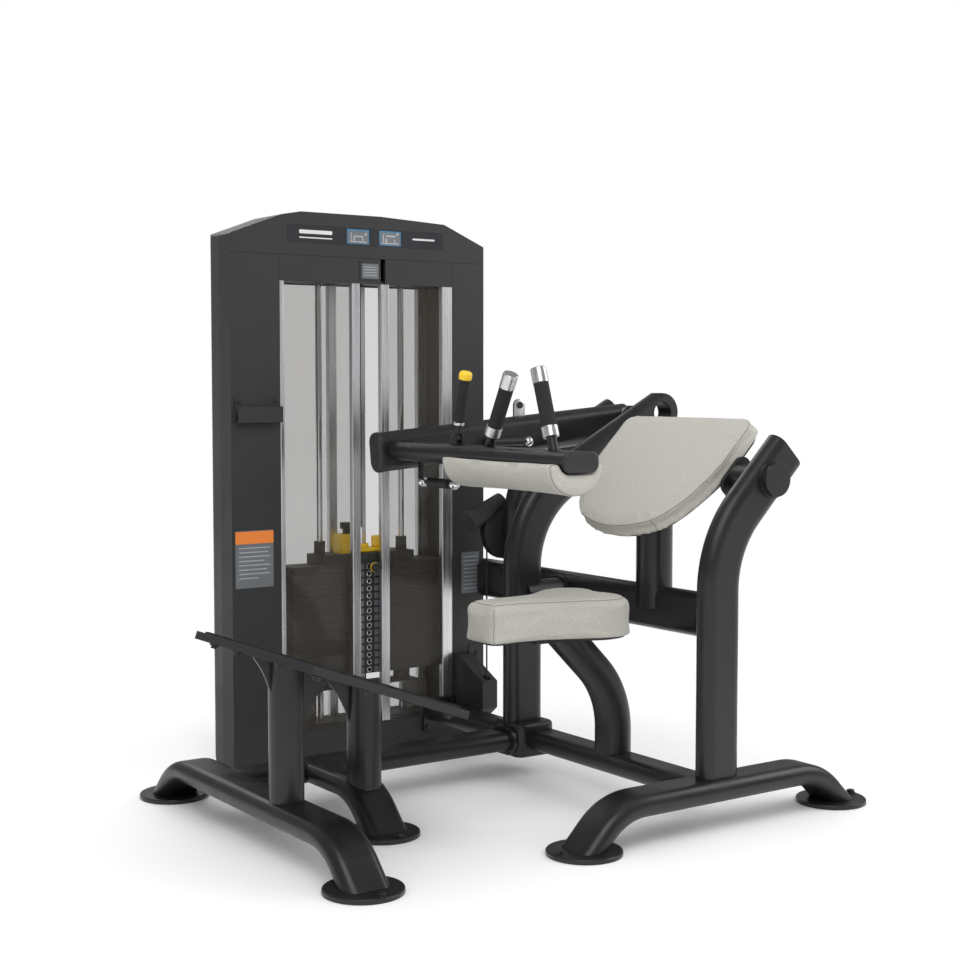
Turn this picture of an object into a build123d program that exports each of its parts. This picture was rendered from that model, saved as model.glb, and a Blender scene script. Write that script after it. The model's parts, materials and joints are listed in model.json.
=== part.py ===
from build123d import *
from math import atan2, cos, hypot, radians, sin, tan
import os

# Selectorised hip thrust machine. Millimetres, +Z up, origin on the floor under the middle of
# the machine's box. The user sits facing -X, and the weight tower stands along the +Y side.

# ---------------------------------------------------------------- tube stock
TUBE_WALL = 3.0
RAIL_W, RAIL_H = 118.0, 56.0        # floor rails, flat-oval
RAIL_Z = 100.0                      # centre height of the level stretches
RAIL_BEND = 170.0
COLUMN_W, COLUMN_D = 121.0, 60.0    # uprights, flat-oval, long side along X
COLUMN_BEND = 290.0
STRUT_W = 100.0                     # far strut, same depth as the uprights
BEAM_H, BEAM_D = 120.0, 60.0        # rear beam
POST_R = 50.0                       # round post behind the back pad
STEM_W, STEM_D = 106.0, 84.0        # seat post
ARM_H, ARM_D = 112.0, 60.0          # swing arm
BAR_W, BAR_H = 102.0, 50.0          # pad crossbar

# ---------------------------------------------------------------- floor plan
HALF_LENGTH = 713.5                 # foot disc centres, front and rear, from the origin
FOOT_R, FOOT_T = 93.0, 12.0
FOOT_BOLT_R = 5.5
FRONT_X = -HALF_LENGTH
FRONT_FEET_Y = (-588.0, 419.0)
SIDE_Y = -641.0
SIDE_FEET_X = (-132.5, HALF_LENGTH)
SHORT_X = -443.5
SHORT_FOOT_Y = -228.0
MAIN_Y = 114.0                      # plane of the base rail and the main upright
CROSS_X = 262.0
TIE_X = 241.5
KNEE_RUN = RAIL_Z - FOOT_T          # 45 degree slopes down to the foot discs

# ---------------------------------------------------------------- uprights, beam and post
SIDE_COLUMN_X = 293.5
MAIN_COLUMN_X = 236.5
SIDE_LEAN = 45.0
MAIN_LEAN = 28.0
PAD_AXIS_X, PAD_AXIS_Z = 451.5, 878.0
SIDE_TOP_RUN = 100.0                # from the pad axis to the end of the side upright
EYE_R = 34.0
EYE_RUN = 330.0                     # from the pad axis to the open eye of the main upright
BEAM_X, BEAM_Z = 406.5, 510.0
BEAM_END_Y = 540.0
BEAM_FOOT_Y = -560.0                # the beam stops short of the side upright
STUB_R, SIDE_STUB_R = 44.0, 28.0
STUB_RING = 5.0
POST_Y = -268.0                     # centre line of the seat and the back pad
POST_TOP_Z = 780.0
BUMPER_T = 12.0

# ---------------------------------------------------------------- seat
SEAT_STEM_TOP_Z = 452.0
SEAT_STEM_LINE = 551.5              # x + z along the slanted stretch of the seat post
SEAT_PLATE_T = 8.0
SEAT_Z0, SEAT_Z1 = 464.0, 566.0
SEAT_NOSE_X, SEAT_TAIL_X = -188.0, 246.0
SEAT_NOSE_W, SEAT_TAIL_W = 140.0, 300.0

# ---------------------------------------------------------------- footplate and its columns
PLATE_LENGTH, PLATE_T = 437.5, 24.0
PLATE_TILT = 20.0
PLATE_LOW_X, PLATE_LOW_Z = -400.0, 364.0
PLATE_Y0, PLATE_Y1 = -551.0, 49.0
FRONT_COLUMN_R, FRONT_COLUMN_Y = 42.5, -230.0
SHORT_COLUMN_R, SHORT_COLUMN_X, SHORT_COLUMN_Y = 44.0, -440.0, -131.0
GUSSET_T = 8.0
TREAD_COUNT = 6

# ---------------------------------------------------------------- back pad
PAD_LENGTH = 390.0
PAD_TOP_W, PAD_FOOT_W = 530.0, 300.0
PAD_FACE = 57.0                     # face of the pad in front of its axis
PAD_BOARD_T = 10.0
PAD_BACK = 2.0                      # back of the board in front of the axis
TRUNNION_R = 34.0
PIN_R = 12.5
BUSH_R = 22.0
RUN_FIT = 0.05                      # radial clearance of every running fit
SIDE_GAP = 1.0                      # between turning faces
BOSS_R, BOSS_RING_R = 43.0, 48.0

# ---------------------------------------------------------------- swing arm and its drive
ARM_AXIS_X, ARM_AXIS_Z = 726.5, 1004.0
ARM_Y = 249.0
ARM_FRONT_X, ARM_FRONT_Z = -162.5, 929.6
SPINDLE_R = 20.0
HUB_R, HUB_HALF = 50.0, 44.0
STRUT_Y = 359.0
HOUSING_R = 40.0
BAR_X = -103.5
BAR_END_Y = -580.0
HIP_W, HIP_H = 166.0, 84.0
HIP_Y0, HIP_Y1 = -572.0, -103.0
CRANK_R = 60.0
CRANK_HALF_W = 22.0
CRANK_Y0, CRANK_Y1 = 424.0, 438.0

# ---------------------------------------------------------------- cam, link and cable
CAM_X, CAM_Z = 402.0, 668.0
CAM_Y0, CAM_Y1 = 410.0, 440.0
CAM_R, GROOVE_R = 88.0, 72.0
CABLE_R = 2.5
PULLEY_R, PULLEY_RIM_R = 42.0, 48.0
PULLEY_HALF = 9.0
AXLE_R = 8.0
LINK_Y0, LINK_Y1 = 446.0, 458.0
LOWER_PULLEY_Z = 175.0

# ---------------------------------------------------------------- weight tower
TOWER_X0, TOWER_X1 = -463.5, 414.5
TOWER_Y0, TOWER_Y1 = 564.0, 734.0
WINDOW_X0, WINDOW_X1 = -305.5, 296.5
PANEL_WALL = 3.0
BASE_Z0, BASE_Z1 = 28.0, 91.0
HEADER_Z0, CROWN_Z0 = 1420.0, 1496.0
CROWN_SIDE_Z, CROWN_SHOULDER_Z, CROWN_TOP_Z = 1547.0, 1611.0, 1622.5
REAR_POST_Y = 706.0
POST_DEPTH = 20.0
SHIELD_T = 5.0
STACK_X, STACK_Y = 12.0, 646.0
STACK_W, STACK_D = 526.0, 96.0
STACK_Z0 = 236.0
WEIGHT_T, WEIGHT_PITCH, WEIGHT_COUNT = 22.2, 22.7, 15
ROD_R, ROD_SPACING = 9.5, 290.0
ROD_HOLE_GAP = 1.0
SELECTOR_W = 30.0
PIN_HOLE_R = 5.5


def span(x0, x1, y0, y1, z0, z1):
    """Plain block between two corners."""
    with BuildPart() as block:
        with Locations(((x0 + x1) / 2, (y0 + y1) / 2, (z0 + z1) / 2)):
            Box(x1 - x0, y1 - y0, z1 - z0)
    return block.part


def along_y(x, z, radius, y0, y1):
    """Cylinder whose axis runs along Y."""
    with BuildPart() as rod:
        with BuildSketch(Plane(origin=(x, y0, z), x_dir=(1, 0, 0), z_dir=(0, 1, 0))):
            Circle(radius)
        extrude(amount=y1 - y0)
    return rod.part


def along_x(y, z, radius, x0, x1):
    """Cylinder whose axis runs along X."""
    with BuildPart() as rod:
        with BuildSketch(Plane(origin=(x0, y, z), x_dir=(0, 1, 0), z_dir=(1, 0, 0))):
            Circle(radius)
        extrude(amount=x1 - x0)
    return rod.part


def along_z(x, y, radius, z0, z1):
    """Cylinder whose axis runs along Z."""
    with BuildPart() as rod:
        with BuildSketch(Plane.XY.offset(z0)):
            with Locations((x, y)):
                Circle(radius)
        extrude(amount=z1 - z0)
    return rod.part


def oval_bar(points, side, width, depth, bend=0.0, inset=0.0):
    """Solid flat-oval bar swept along straight runs that are joined by arcs."""
    with BuildPart() as bar:
        with BuildLine() as route:
            if len(points) > 2:
                FilletPolyline(*points, radius=bend)
            else:
                Line(*points)
        with BuildSketch(Plane(origin=route.line @ 0, x_dir=side, z_dir=route.line % 0)):
            SlotOverall(width - 2 * inset, depth - 2 * inset)
        sweep()
    return bar.part


def oval_tube(stock, *neighbours):
    """Hollow bar, its ends coped round each neighbour that it is welded to."""
    with BuildPart() as tube:
        add(oval_bar(**stock))
        add(oval_bar(**stock, inset=TUBE_WALL), mode=Mode.SUBTRACT)
        for neighbour in neighbours:
            add(neighbour, mode=Mode.SUBTRACT)
    return tube.part


def finish(name, *pieces):
    """Label a sub-part, made of one piece or of pieces that stay apart, and write its STEP file."""
    part = pieces[0] if len(pieces) == 1 else Compound([s for piece in pieces for s in piece.solids()])
    part.label = name
    export_step(part, f"parts/{name}.step")


os.makedirs("parts", exist_ok=True)

# ================================================================ floor frame
# Each foot rail is level in the middle and slopes down at 45 degrees to its foot discs.
below_feet = span(-2000, 2000, -2000, 2000, -500, FOOT_T)
slope_end = KNEE_RUN + FOOT_T + 60     # the slope runs on below the floor and is cut off there

FRONT_RAIL = dict(
    points=[
        (FRONT_X, FRONT_FEET_Y[0] + KNEE_RUN - slope_end, RAIL_Z - slope_end),
        (FRONT_X, FRONT_FEET_Y[0] + KNEE_RUN, RAIL_Z),
        (FRONT_X, FRONT_FEET_Y[1] - KNEE_RUN, RAIL_Z),
        (FRONT_X, FRONT_FEET_Y[1] - KNEE_RUN + slope_end, RAIL_Z - slope_end),
    ],
    side=(1, 0, 0), width=RAIL_W, depth=RAIL_H, bend=RAIL_BEND,
)
SIDE_RAIL = dict(
    points=[
        (SIDE_FEET_X[0] + KNEE_RUN - slope_end, SIDE_Y, RAIL_Z - slope_end),
        (SIDE_FEET_X[0] + KNEE_RUN, SIDE_Y, RAIL_Z),
        (SIDE_FEET_X[1] - KNEE_RUN, SIDE_Y, RAIL_Z),
        (SIDE_FEET_X[1] - KNEE_RUN + slope_end, SIDE_Y, RAIL_Z - slope_end),
    ],
    side=(0, 1, 0), width=RAIL_W, depth=RAIL_H, bend=RAIL_BEND,
)
SHORT_RAIL = dict(
    points=[
        (SHORT_X, MAIN_Y, RAIL_Z),
        (SHORT_X, SHORT_FOOT_Y + KNEE_RUN, RAIL_Z),
        (SHORT_X, SHORT_FOOT_Y + KNEE_RUN - slope_end, RAIL_Z - slope_end),
    ],
    side=(1, 0, 0), width=RAIL_W, depth=RAIL_H, bend=RAIL_BEND,
)
NODE_R = 68.0
NODE_X = MAIN_COLUMN_X + 6.0
NODE_Z0, NODE_Z1 = 52.0, 150.0
BASE_RAIL = dict(points=[(FRONT_X, MAIN_Y, RAIL_Z), (NODE_X, MAIN_Y, RAIL_Z)],
                 side=(0, 1, 0), width=RAIL_W - 14, depth=RAIL_H)
CROSS_RAIL = dict(points=[(CROSS_X, SIDE_Y, RAIL_Z), (CROSS_X, MAIN_Y, RAIL_Z)],
                  side=(1, 0, 0), width=RAIL_W - 14, depth=RAIL_H)
TIE_RAIL = dict(points=[(TIE_X, MAIN_Y, RAIL_Z), (TIE_X, TOWER_Y0, RAIL_Z)],
                side=(1, 0, 0), width=RAIL_W - 14, depth=RAIL_H)

front_bar = oval_bar(**FRONT_RAIL)
side_bar = oval_bar(**SIDE_RAIL)
base_bar = oval_bar(**BASE_RAIL)

finish("foot_rails", oval_tube(FRONT_RAIL, below_feet), oval_tube(SIDE_RAIL, below_feet),
       oval_tube(SHORT_RAIL, base_bar, below_feet))

# Cast corner node: a round-shouldered block that the base, cross and tie rails run into
with BuildPart() as corner_node:
    with BuildSketch(Plane.XY.offset(NODE_Z0)):
        with Locations((NODE_X, MAIN_Y)):
            RectangleRounded(2 * NODE_R, 2 * NODE_R, 30)
    extrude(amount=NODE_Z1 - NODE_Z0)
    fillet(corner_node.edges().group_by(Axis.Z)[-1], 12)
    fillet(corner_node.edges().group_by(Axis.Z)[0], 12)
finish("corner_node", corner_node.part)

# Bolted flange ring where the base rail meets the node
RING_T = 12.0
ring_plane = Plane(origin=(NODE_X - NODE_R - RING_T, MAIN_Y, RAIL_Z), x_dir=(0, 1, 0), z_dir=(1, 0, 0))
with BuildPart() as node_flange:
    with BuildSketch(ring_plane):
        SlotOverall(RAIL_W + 8, RAIL_H + 26)
        SlotOverall(RAIL_W - 14, RAIL_H, mode=Mode.SUBTRACT)
    extrude(amount=RING_T)

# Tie rail to the tower, with its bolted end plate
TIE_PLATE_T = 10.0
tie_plate = span(TIE_X - 59, TIE_X + 59, TOWER_Y0 - TIE_PLATE_T, TOWER_Y0, 40, 140)
finish("floor_rails", oval_tube(BASE_RAIL, front_bar, corner_node.part),
       oval_tube(CROSS_RAIL, side_bar, corner_node.part),
       oval_tube(TIE_RAIL, corner_node.part, tie_plate), node_flange.part, tie_plate)

# Round foot discs, each with a bolt hole beside its slope
FEET = [(FRONT_X, FRONT_FEET_Y[0], 0, -1), (FRONT_X, FRONT_FEET_Y[1], 0, 1),
        (SHORT_X, SHORT_FOOT_Y, 0, -1),
        (SIDE_FEET_X[0], SIDE_Y, -1, 0), (SIDE_FEET_X[1], SIDE_Y, 1, 0)]
BOLT_OUT = FOOT_R - 16
with BuildPart() as foot_discs:
    with BuildSketch():
        with Locations(*[(x, y) for x, y, _, _ in FEET]):
            Circle(FOOT_R)
    extrude(amount=FOOT_T)
    fillet(foot_discs.edges().group_by(Axis.Z)[-1], 4)
    with BuildSketch():
        with Locations(*[(x + i * BOLT_OUT, y + j * BOLT_OUT) for x, y, i, j in FEET]):
            Circle(FOOT_BOLT_R)
    extrude(amount=FOOT_T, mode=Mode.SUBTRACT)
finish("foot_discs", foot_discs.part)

# ================================================================ footplate and its columns
plate_dir = (-cos(radians(PLATE_TILT)), 0, sin(radians(PLATE_TILT)))
plate_up = (sin(radians(PLATE_TILT)), 0, cos(radians(PLATE_TILT)))
plate_plane = Plane(origin=(PLATE_LOW_X, (PLATE_Y0 + PLATE_Y1) / 2, PLATE_LOW_Z),
                    x_dir=plate_dir, z_dir=plate_up)
PLATE_W = PLATE_Y1 - PLATE_Y0


def plate_layer(length, width, bottom, top):
    """Block on the slanted footplate plane, centred on the plate, between two heights over it."""
    with BuildPart() as layer:
        with BuildSketch(plate_plane.offset(bottom)):
            with Locations((PLATE_LENGTH / 2, 0)):
                Rectangle(length, width)
        extrude(amount=top - bottom)
    return layer.part


above_plate = plate_layer(4 * PLATE_LENGTH, 3 * PLATE_W, -PLATE_T, 900)
COLUMN_REACH = 700.0
front_column_bar = along_z(FRONT_X, FRONT_COLUMN_Y, FRONT_COLUMN_R, RAIL_Z, COLUMN_REACH)
short_column_bar = along_z(SHORT_COLUMN_X, SHORT_COLUMN_Y, SHORT_COLUMN_R, RAIL_Z - 30, COLUMN_REACH)
short_bar = oval_bar(**SHORT_RAIL)
with BuildPart() as front_column:
    add(front_column_bar)
    add(along_z(FRONT_X, FRONT_COLUMN_Y, FRONT_COLUMN_R - TUBE_WALL, RAIL_Z, COLUMN_REACH),
        mode=Mode.SUBTRACT)
    add(front_bar, mode=Mode.SUBTRACT)
    add(above_plate, mode=Mode.SUBTRACT)

with BuildPart() as short_column:
    add(along_z(SHORT_COLUMN_X, SHORT_COLUMN_Y, SHORT_COLUMN_R, RAIL_Z, COLUMN_REACH))
    add(along_z(SHORT_COLUMN_X, SHORT_COLUMN_Y, SHORT_COLUMN_R - TUBE_WALL, RAIL_Z, COLUMN_REACH),
        mode=Mode.SUBTRACT)
    add(short_bar, mode=Mode.SUBTRACT)
    add(above_plate, mode=Mode.SUBTRACT)

# Arched gusset webs from the columns out under the plate: column, which side, reach and drop
GUSSET_TIP, GUSSET_CURVE = 30.0, 230.0
GUSSETS = [(FRONT_X, FRONT_COLUMN_Y, FRONT_COLUMN_R, -1, 42.0, 120.0),
           (FRONT_X, FRONT_COLUMN_Y, FRONT_COLUMN_R, 1, 76.0, 190.0),
           (SHORT_COLUMN_X, SHORT_COLUMN_Y, SHORT_COLUMN_R, -1, 76.0, 190.0)]
plate_slope = tan(radians(PLATE_TILT))
with BuildPart() as column_gussets:
    for x, y, radius, way, reach, drop in GUSSETS:
        face_x = x + way * (radius - 6)
        tip_x = x + way * (radius + reach)
        tip_z = PLATE_LOW_Z + (PLATE_LOW_X - tip_x) * plate_slope - GUSSET_TIP
        foot_z = PLATE_LOW_Z + (PLATE_LOW_X - x) * plate_slope - drop
        with BuildSketch(Plane(origin=(0, y + GUSSET_T / 2, 0), x_dir=(1, 0, 0), z_dir=(0, -1, 0))):
            with BuildLine():
                Polyline((face_x, foot_z), (face_x, tip_z + 120), (tip_x, tip_z + 120), (tip_x, tip_z))
                RadiusArc((tip_x, tip_z), (face_x, foot_z), -way * GUSSET_CURVE)
            make_face()
        extrude(amount=GUSSET_T)
    add(front_column_bar, mode=Mode.SUBTRACT)
    add(short_column_bar, mode=Mode.SUBTRACT)
    add(above_plate, mode=Mode.SUBTRACT)
finish("footplate_columns", front_column.part, short_column.part, column_gussets.part)

TREAD_T = 4.0
TREAD_W = 54.0
TREAD_MARGIN = 10.0
finish("footplate", plate_layer(PLATE_LENGTH, PLATE_W, -PLATE_T, -TREAD_T))

TREAD_STEP = (PLATE_LENGTH - 2 * TREAD_MARGIN) / TREAD_COUNT
with BuildPart() as footplate_treads:
    with BuildSketch(plate_plane.offset(-TREAD_T)):
        for i in range(TREAD_COUNT):
            with Locations((TREAD_MARGIN + TREAD_STEP * (i + 0.5), 0)):
                RectangleRounded(TREAD_W, PLATE_W - 16, 4)
    extrude(amount=TREAD_T)
finish("footplate_treads", footplate_treads.part)

# ================================================================ uprights
lean = radians(MAIN_LEAN)
side_lean = radians(SIDE_LEAN)


def lean_point(run, angle, y, across=0.0):
    """Point on an upright's leaning axis, a run past the pad axis and a way across it."""
    return (PAD_AXIS_X + run * cos(angle) - across * sin(angle), y,
            PAD_AXIS_Z + run * sin(angle) + across * cos(angle))


def knee(column_x, angle):
    """Height where the leaning axis meets the vertical one."""
    return PAD_AXIS_Z - (PAD_AXIS_X - column_x) * tan(angle)


SIDE_UPRIGHT = dict(
    points=[(SIDE_COLUMN_X, SIDE_Y, RAIL_Z), (SIDE_COLUMN_X, SIDE_Y, knee(SIDE_COLUMN_X, side_lean)),
            lean_point(SIDE_TOP_RUN, side_lean, SIDE_Y)],
    side=(1, 0, 0), width=COLUMN_W, depth=COLUMN_D, bend=COLUMN_BEND,
)
EYE_BLOCK = 46.0                       # solid casting before the eye
MAIN_UPRIGHT = dict(
    points=[(MAIN_COLUMN_X, MAIN_Y, RAIL_Z), (MAIN_COLUMN_X, MAIN_Y, knee(MAIN_COLUMN_X, lean)),
            lean_point(EYE_RUN - EYE_BLOCK, lean, MAIN_Y)],
    side=(1, 0, 0), width=COLUMN_W, depth=COLUMN_D, bend=COLUMN_BEND,
)
side_upright_bar = oval_bar(**SIDE_UPRIGHT)
main_upright_bar = oval_bar(**MAIN_UPRIGHT)


def pad_bore(y):
    """Bore for the back pad's bush through an upright at y."""
    return along_y(PAD_AXIS_X, PAD_AXIS_Z, BUSH_R, y - COLUMN_D, y + COLUMN_D)


finish("side_upright", oval_tube(SIDE_UPRIGHT, side_bar, pad_bore(SIDE_Y)))

# Cap plate set into the open top of the side upright
CAP_T = 4.0
top_dir = (cos(side_lean), 0, sin(side_lean))
with BuildPart() as side_cap:
    with BuildSketch(Plane(origin=lean_point(SIDE_TOP_RUN - CAP_T, side_lean, SIDE_Y),
                           x_dir=(sin(side_lean), 0, -cos(side_lean)), z_dir=top_dir)):
        SlotOverall(COLUMN_W - 2 * TUBE_WALL, COLUMN_D - 2 * TUBE_WALL)
    extrude(amount=CAP_T)

# Cast end of the main upright, rounded about its open eye
eye_x, _, eye_z = lean_point(EYE_RUN, lean, MAIN_Y)
eye_side = (sin(lean), 0, -cos(lean))
with BuildPart() as eye_round:
    add(oval_bar([lean_point(EYE_RUN, lean, MAIN_Y), lean_point(EYE_RUN + COLUMN_W, lean, MAIN_Y)],
                 eye_side, COLUMN_W, COLUMN_D))
    add(along_y(eye_x, eye_z, COLUMN_W / 2, MAIN_Y - COLUMN_D, MAIN_Y + COLUMN_D), mode=Mode.INTERSECT)
with BuildPart() as upright_eye:
    add(oval_bar([lean_point(EYE_RUN - EYE_BLOCK, lean, MAIN_Y), lean_point(EYE_RUN, lean, MAIN_Y)],
                 eye_side, COLUMN_W, COLUMN_D))
    add(eye_round.part)
    add(along_y(eye_x, eye_z, EYE_R, MAIN_Y - COLUMN_D, MAIN_Y + COLUMN_D), mode=Mode.SUBTRACT)
finish("main_upright", oval_tube(MAIN_UPRIGHT, corner_node.part, pad_bore(MAIN_Y)), upright_eye.part)

# Rear beam between the uprights and past the tower's edge, with ringed stubs to the uprights
BEAM = dict(points=[(BEAM_X, BEAM_FOOT_Y, BEAM_Z), (BEAM_X, BEAM_END_Y, BEAM_Z)],
            side=(0, 0, 1), width=BEAM_H, depth=BEAM_D)
beam_bar = oval_bar(**BEAM)
stub_foot = (SIDE_COLUMN_X + (COLUMN_W - COLUMN_D) / 2, SIDE_Y, BEAM_Z)
stub_dir = (BEAM_X - stub_foot[0], BEAM_FOOT_Y + 26 - SIDE_Y, 0)

with BuildPart() as beam_stubs:
    with BuildSketch(Plane(origin=stub_foot, x_dir=(0, 0, 1), z_dir=stub_dir)):
        Circle(SIDE_STUB_R)
    extrude(amount=hypot(stub_dir[0], stub_dir[1]))
    add(span(BEAM_X - 60, BEAM_X + 60, BEAM_FOOT_Y - CAP_T, BEAM_FOOT_Y, BEAM_Z - 80, BEAM_Z + 80),
        mode=Mode.SUBTRACT)
    add(along_x(MAIN_Y, BEAM_Z, STUB_R, MAIN_COLUMN_X, BEAM_X))
    add(along_x(MAIN_Y, BEAM_Z, STUB_R + STUB_RING, BEAM_X - BEAM_D / 2 - 8, BEAM_X - BEAM_D / 2 - 2))
    add(side_upright_bar, mode=Mode.SUBTRACT)
    add(main_upright_bar, mode=Mode.SUBTRACT)
    add(beam_bar, mode=Mode.SUBTRACT)
finish("rear_beam", oval_tube(BEAM), beam_stubs.part)

# End caps of the beam
with BuildPart() as beam_caps:
    for y in (BEAM_FOOT_Y - CAP_T, BEAM_END_Y):
        with BuildSketch(Plane(origin=(BEAM_X, y, BEAM_Z), x_dir=(0, 0, 1), z_dir=(0, 1, 0))):
            SlotOverall(BEAM_H, BEAM_D)
        extrude(amount=CAP_T)

# Post behind the back pad, cut parallel to the pad, with a rubber stop on its slanted top
pad_normal = (-sin(side_lean), 0, cos(side_lean))
pad_up = (cos(side_lean), 0, sin(side_lean))
stop_plane = Plane(origin=(BEAM_X, POST_Y, POST_TOP_Z), x_dir=(0, 1, 0), z_dir=pad_normal)


def stop_layer(radius, bottom, top, long_radius=0.0):
    """Oval layer on the post's slanted top."""
    with BuildPart() as layer:
        with BuildSketch(stop_plane.offset(bottom)):
            Ellipse(radius, long_radius or radius)
        extrude(amount=top - bottom)
    return layer.part


post_top = stop_layer(500, 0, 500)
with BuildPart() as back_post:
    add(along_z(BEAM_X, POST_Y, POST_R, BEAM_Z, POST_TOP_Z + POST_R + 10))
    add(along_z(BEAM_X, POST_Y, POST_R - TUBE_WALL, BEAM_Z, POST_TOP_Z + POST_R + 10), mode=Mode.SUBTRACT)
    add(post_top, mode=Mode.SUBTRACT)
    add(beam_bar, mode=Mode.SUBTRACT)
finish("back_post", back_post.part)
finish("post_bumper", stop_layer(POST_R - 4, 0, BUMPER_T, (POST_R - 4) * 1.35))

# Far strut: stands on the beam and carries the arm's spindle
strut_end_run = 52.0
strut_end = (ARM_AXIS_X + strut_end_run * cos(lean), STRUT_Y, ARM_AXIS_Z + strut_end_run * sin(lean))
STRUT = dict(
    points=[(BEAM_X, STRUT_Y, BEAM_Z),
            (BEAM_X, STRUT_Y, ARM_AXIS_Z - (ARM_AXIS_X - BEAM_X) * tan(lean)), strut_end],
    side=(1, 0, 0), width=STRUT_W, depth=COLUMN_D, bend=180.0,
)
HOUSING_Y0, HOUSING_Y1 = STRUT_Y - 54.0, STRUT_Y + 54.0
housing_bar = along_y(ARM_AXIS_X, ARM_AXIS_Z, HOUSING_R, HOUSING_Y0, HOUSING_Y1)
with BuildPart() as strut_cap:
    with BuildSketch(Plane(origin=strut_end, x_dir=eye_side, z_dir=(cos(lean), 0, sin(lean))).offset(-CAP_T)):
        SlotOverall(STRUT_W - 2 * TUBE_WALL, COLUMN_D - 2 * TUBE_WALL)
    extrude(amount=CAP_T)
    add(housing_bar, mode=Mode.SUBTRACT)
finish("tube_caps", side_cap.part, beam_caps.part, strut_cap.part)
with BuildPart() as spindle_housing:
    add(housing_bar)
    add(along_y(ARM_AXIS_X, ARM_AXIS_Z, SPINDLE_R + RUN_FIT, HOUSING_Y0, HOUSING_Y1), mode=Mode.SUBTRACT)
finish("far_strut", oval_tube(STRUT, beam_bar, housing_bar), spindle_housing.part)

# ================================================================ back pad, its yoke and pivots
pad_plane = Plane(origin=(PAD_AXIS_X, POST_Y, PAD_AXIS_Z), x_dir=(0, -1, 0), z_dir=pad_normal)
PAD_HIGH, PAD_LOW = 170.0, PAD_LENGTH - 170.0
PAD_CORNER, PAD_FOOT_SAG = 44.0, 32.0


def pad_outline(margin):
    """Half-width points of the pad: straight sides, then drawn in towards the foot."""
    return (PAD_TOP_W / 2 - margin, PAD_FOOT_W / 2 - margin, PAD_HIGH - margin, -PAD_LOW + margin)


def pad_layer(margin, bottom, top, edge=0.0):
    """Slab in the pad's outline, between two distances in front of the pad axis."""
    half, foot, high, low = pad_outline(margin)
    with BuildPart() as slab:
        with BuildSketch(pad_plane.offset(bottom)):
            with BuildLine():
                for way in (-1, 1):
                    corner_from, corner_to = (way * (half - PAD_CORNER), high), (way * half, high - PAD_CORNER)
                    RadiusArc(corner_from, corner_to, way * PAD_CORNER)
                    Line((way * half, high - PAD_CORNER), (way * half, 30))
                    Spline((way * half, 30), (way * (half - 34), low / 2), (way * foot, low),
                           tangents=((0, -1), (-way, -0.55)))
                Line((half - PAD_CORNER, high), (PAD_CORNER - half, high))
                ThreePointArc((foot, low), (0, low - PAD_FOOT_SAG), (-foot, low))
            make_face()
        extrude(amount=top - bottom)
        if edge:
            fillet(slab.faces().sort_by(Axis(pad_plane.origin, pad_plane.z_dir))[-1].edges(), edge)
    return slab.part


finish("back_pad", pad_layer(0, PAD_BACK + PAD_BOARD_T, PAD_FACE, 12))
finish("pad_board", pad_layer(14, PAD_BACK, PAD_BACK + PAD_BOARD_T))

# Yoke: a cross bar behind the board and a rounded ear at each side of the pad
EAR_T = 12.0
PAD_SIDE_GAP = 2.0
EAR_Y = (POST_Y - PAD_TOP_W / 2 - PAD_SIDE_GAP - EAR_T, POST_Y + PAD_TOP_W / 2 + PAD_SIDE_GAP)
YOKE_T, YOKE_W = 10.0, 56.0
with BuildPart() as pad_yoke:
    with BuildSketch(pad_plane.offset(PAD_BACK - YOKE_T)):
        Rectangle(EAR_Y[1] - EAR_Y[0] + EAR_T, YOKE_W)
    extrude(amount=YOKE_T)
    for y in EAR_Y:
        with BuildSketch(Plane(origin=(PAD_AXIS_X, y, PAD_AXIS_Z), x_dir=pad_up, z_dir=(0, 1, 0))):
            RectangleRounded(116, 64, 26)
        extrude(amount=EAR_T)

# Trunnions: a barrel and a pin from each ear into the bush of its upright
side_face, main_face = SIDE_Y + COLUMN_D / 2, MAIN_Y - COLUMN_D / 2
with BuildPart() as pad_trunnions:
    add(along_y(PAD_AXIS_X, PAD_AXIS_Z, TRUNNION_R, side_face + SIDE_GAP, EAR_Y[0]))
    add(along_y(PAD_AXIS_X, PAD_AXIS_Z, PIN_R, side_face - COLUMN_D + 4, side_face + SIDE_GAP))
    add(along_y(PAD_AXIS_X, PAD_AXIS_Z, TRUNNION_R, EAR_Y[1] + EAR_T, main_face - SIDE_GAP))
    add(along_y(PAD_AXIS_X, PAD_AXIS_Z, PIN_R, main_face - SIDE_GAP, main_face + COLUMN_D - 4))
finish("pad_yoke", pad_yoke.part, pad_trunnions.part)

with BuildPart() as pad_bushes:
    for y in (SIDE_Y, MAIN_Y):
        add(along_y(PAD_AXIS_X, PAD_AXIS_Z, BUSH_R, y - COLUMN_D / 2, y + COLUMN_D / 2))
    add(along_y(PAD_AXIS_X, PAD_AXIS_Z, PIN_R + RUN_FIT, SIDE_Y - 80, MAIN_Y + 80), mode=Mode.SUBTRACT)

# Round bosses on the outer faces, a ring with a smaller cap over it
BOSS_RING_T, BOSS_T = 6.0, 15.0
with BuildPart() as pivot_bosses:
    for y, way in ((SIDE_Y - COLUMN_D / 2, -1), (MAIN_Y + COLUMN_D / 2, 1)):
        ring_y, cap_y = y + way * BOSS_RING_T, y + way * (BOSS_RING_T + BOSS_T)
        back_y = y - way * 26
        add(along_y(PAD_AXIS_X, PAD_AXIS_Z, BOSS_RING_R, min(back_y, ring_y), max(back_y, ring_y)))
        add(along_y(PAD_AXIS_X, PAD_AXIS_Z, BOSS_R, min(ring_y, cap_y), max(ring_y, cap_y)))
    add(side_upright_bar, mode=Mode.SUBTRACT)
    add(main_upright_bar, mode=Mode.SUBTRACT)
finish("pad_bearings", pad_bushes.part, pivot_bosses.part)

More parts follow.
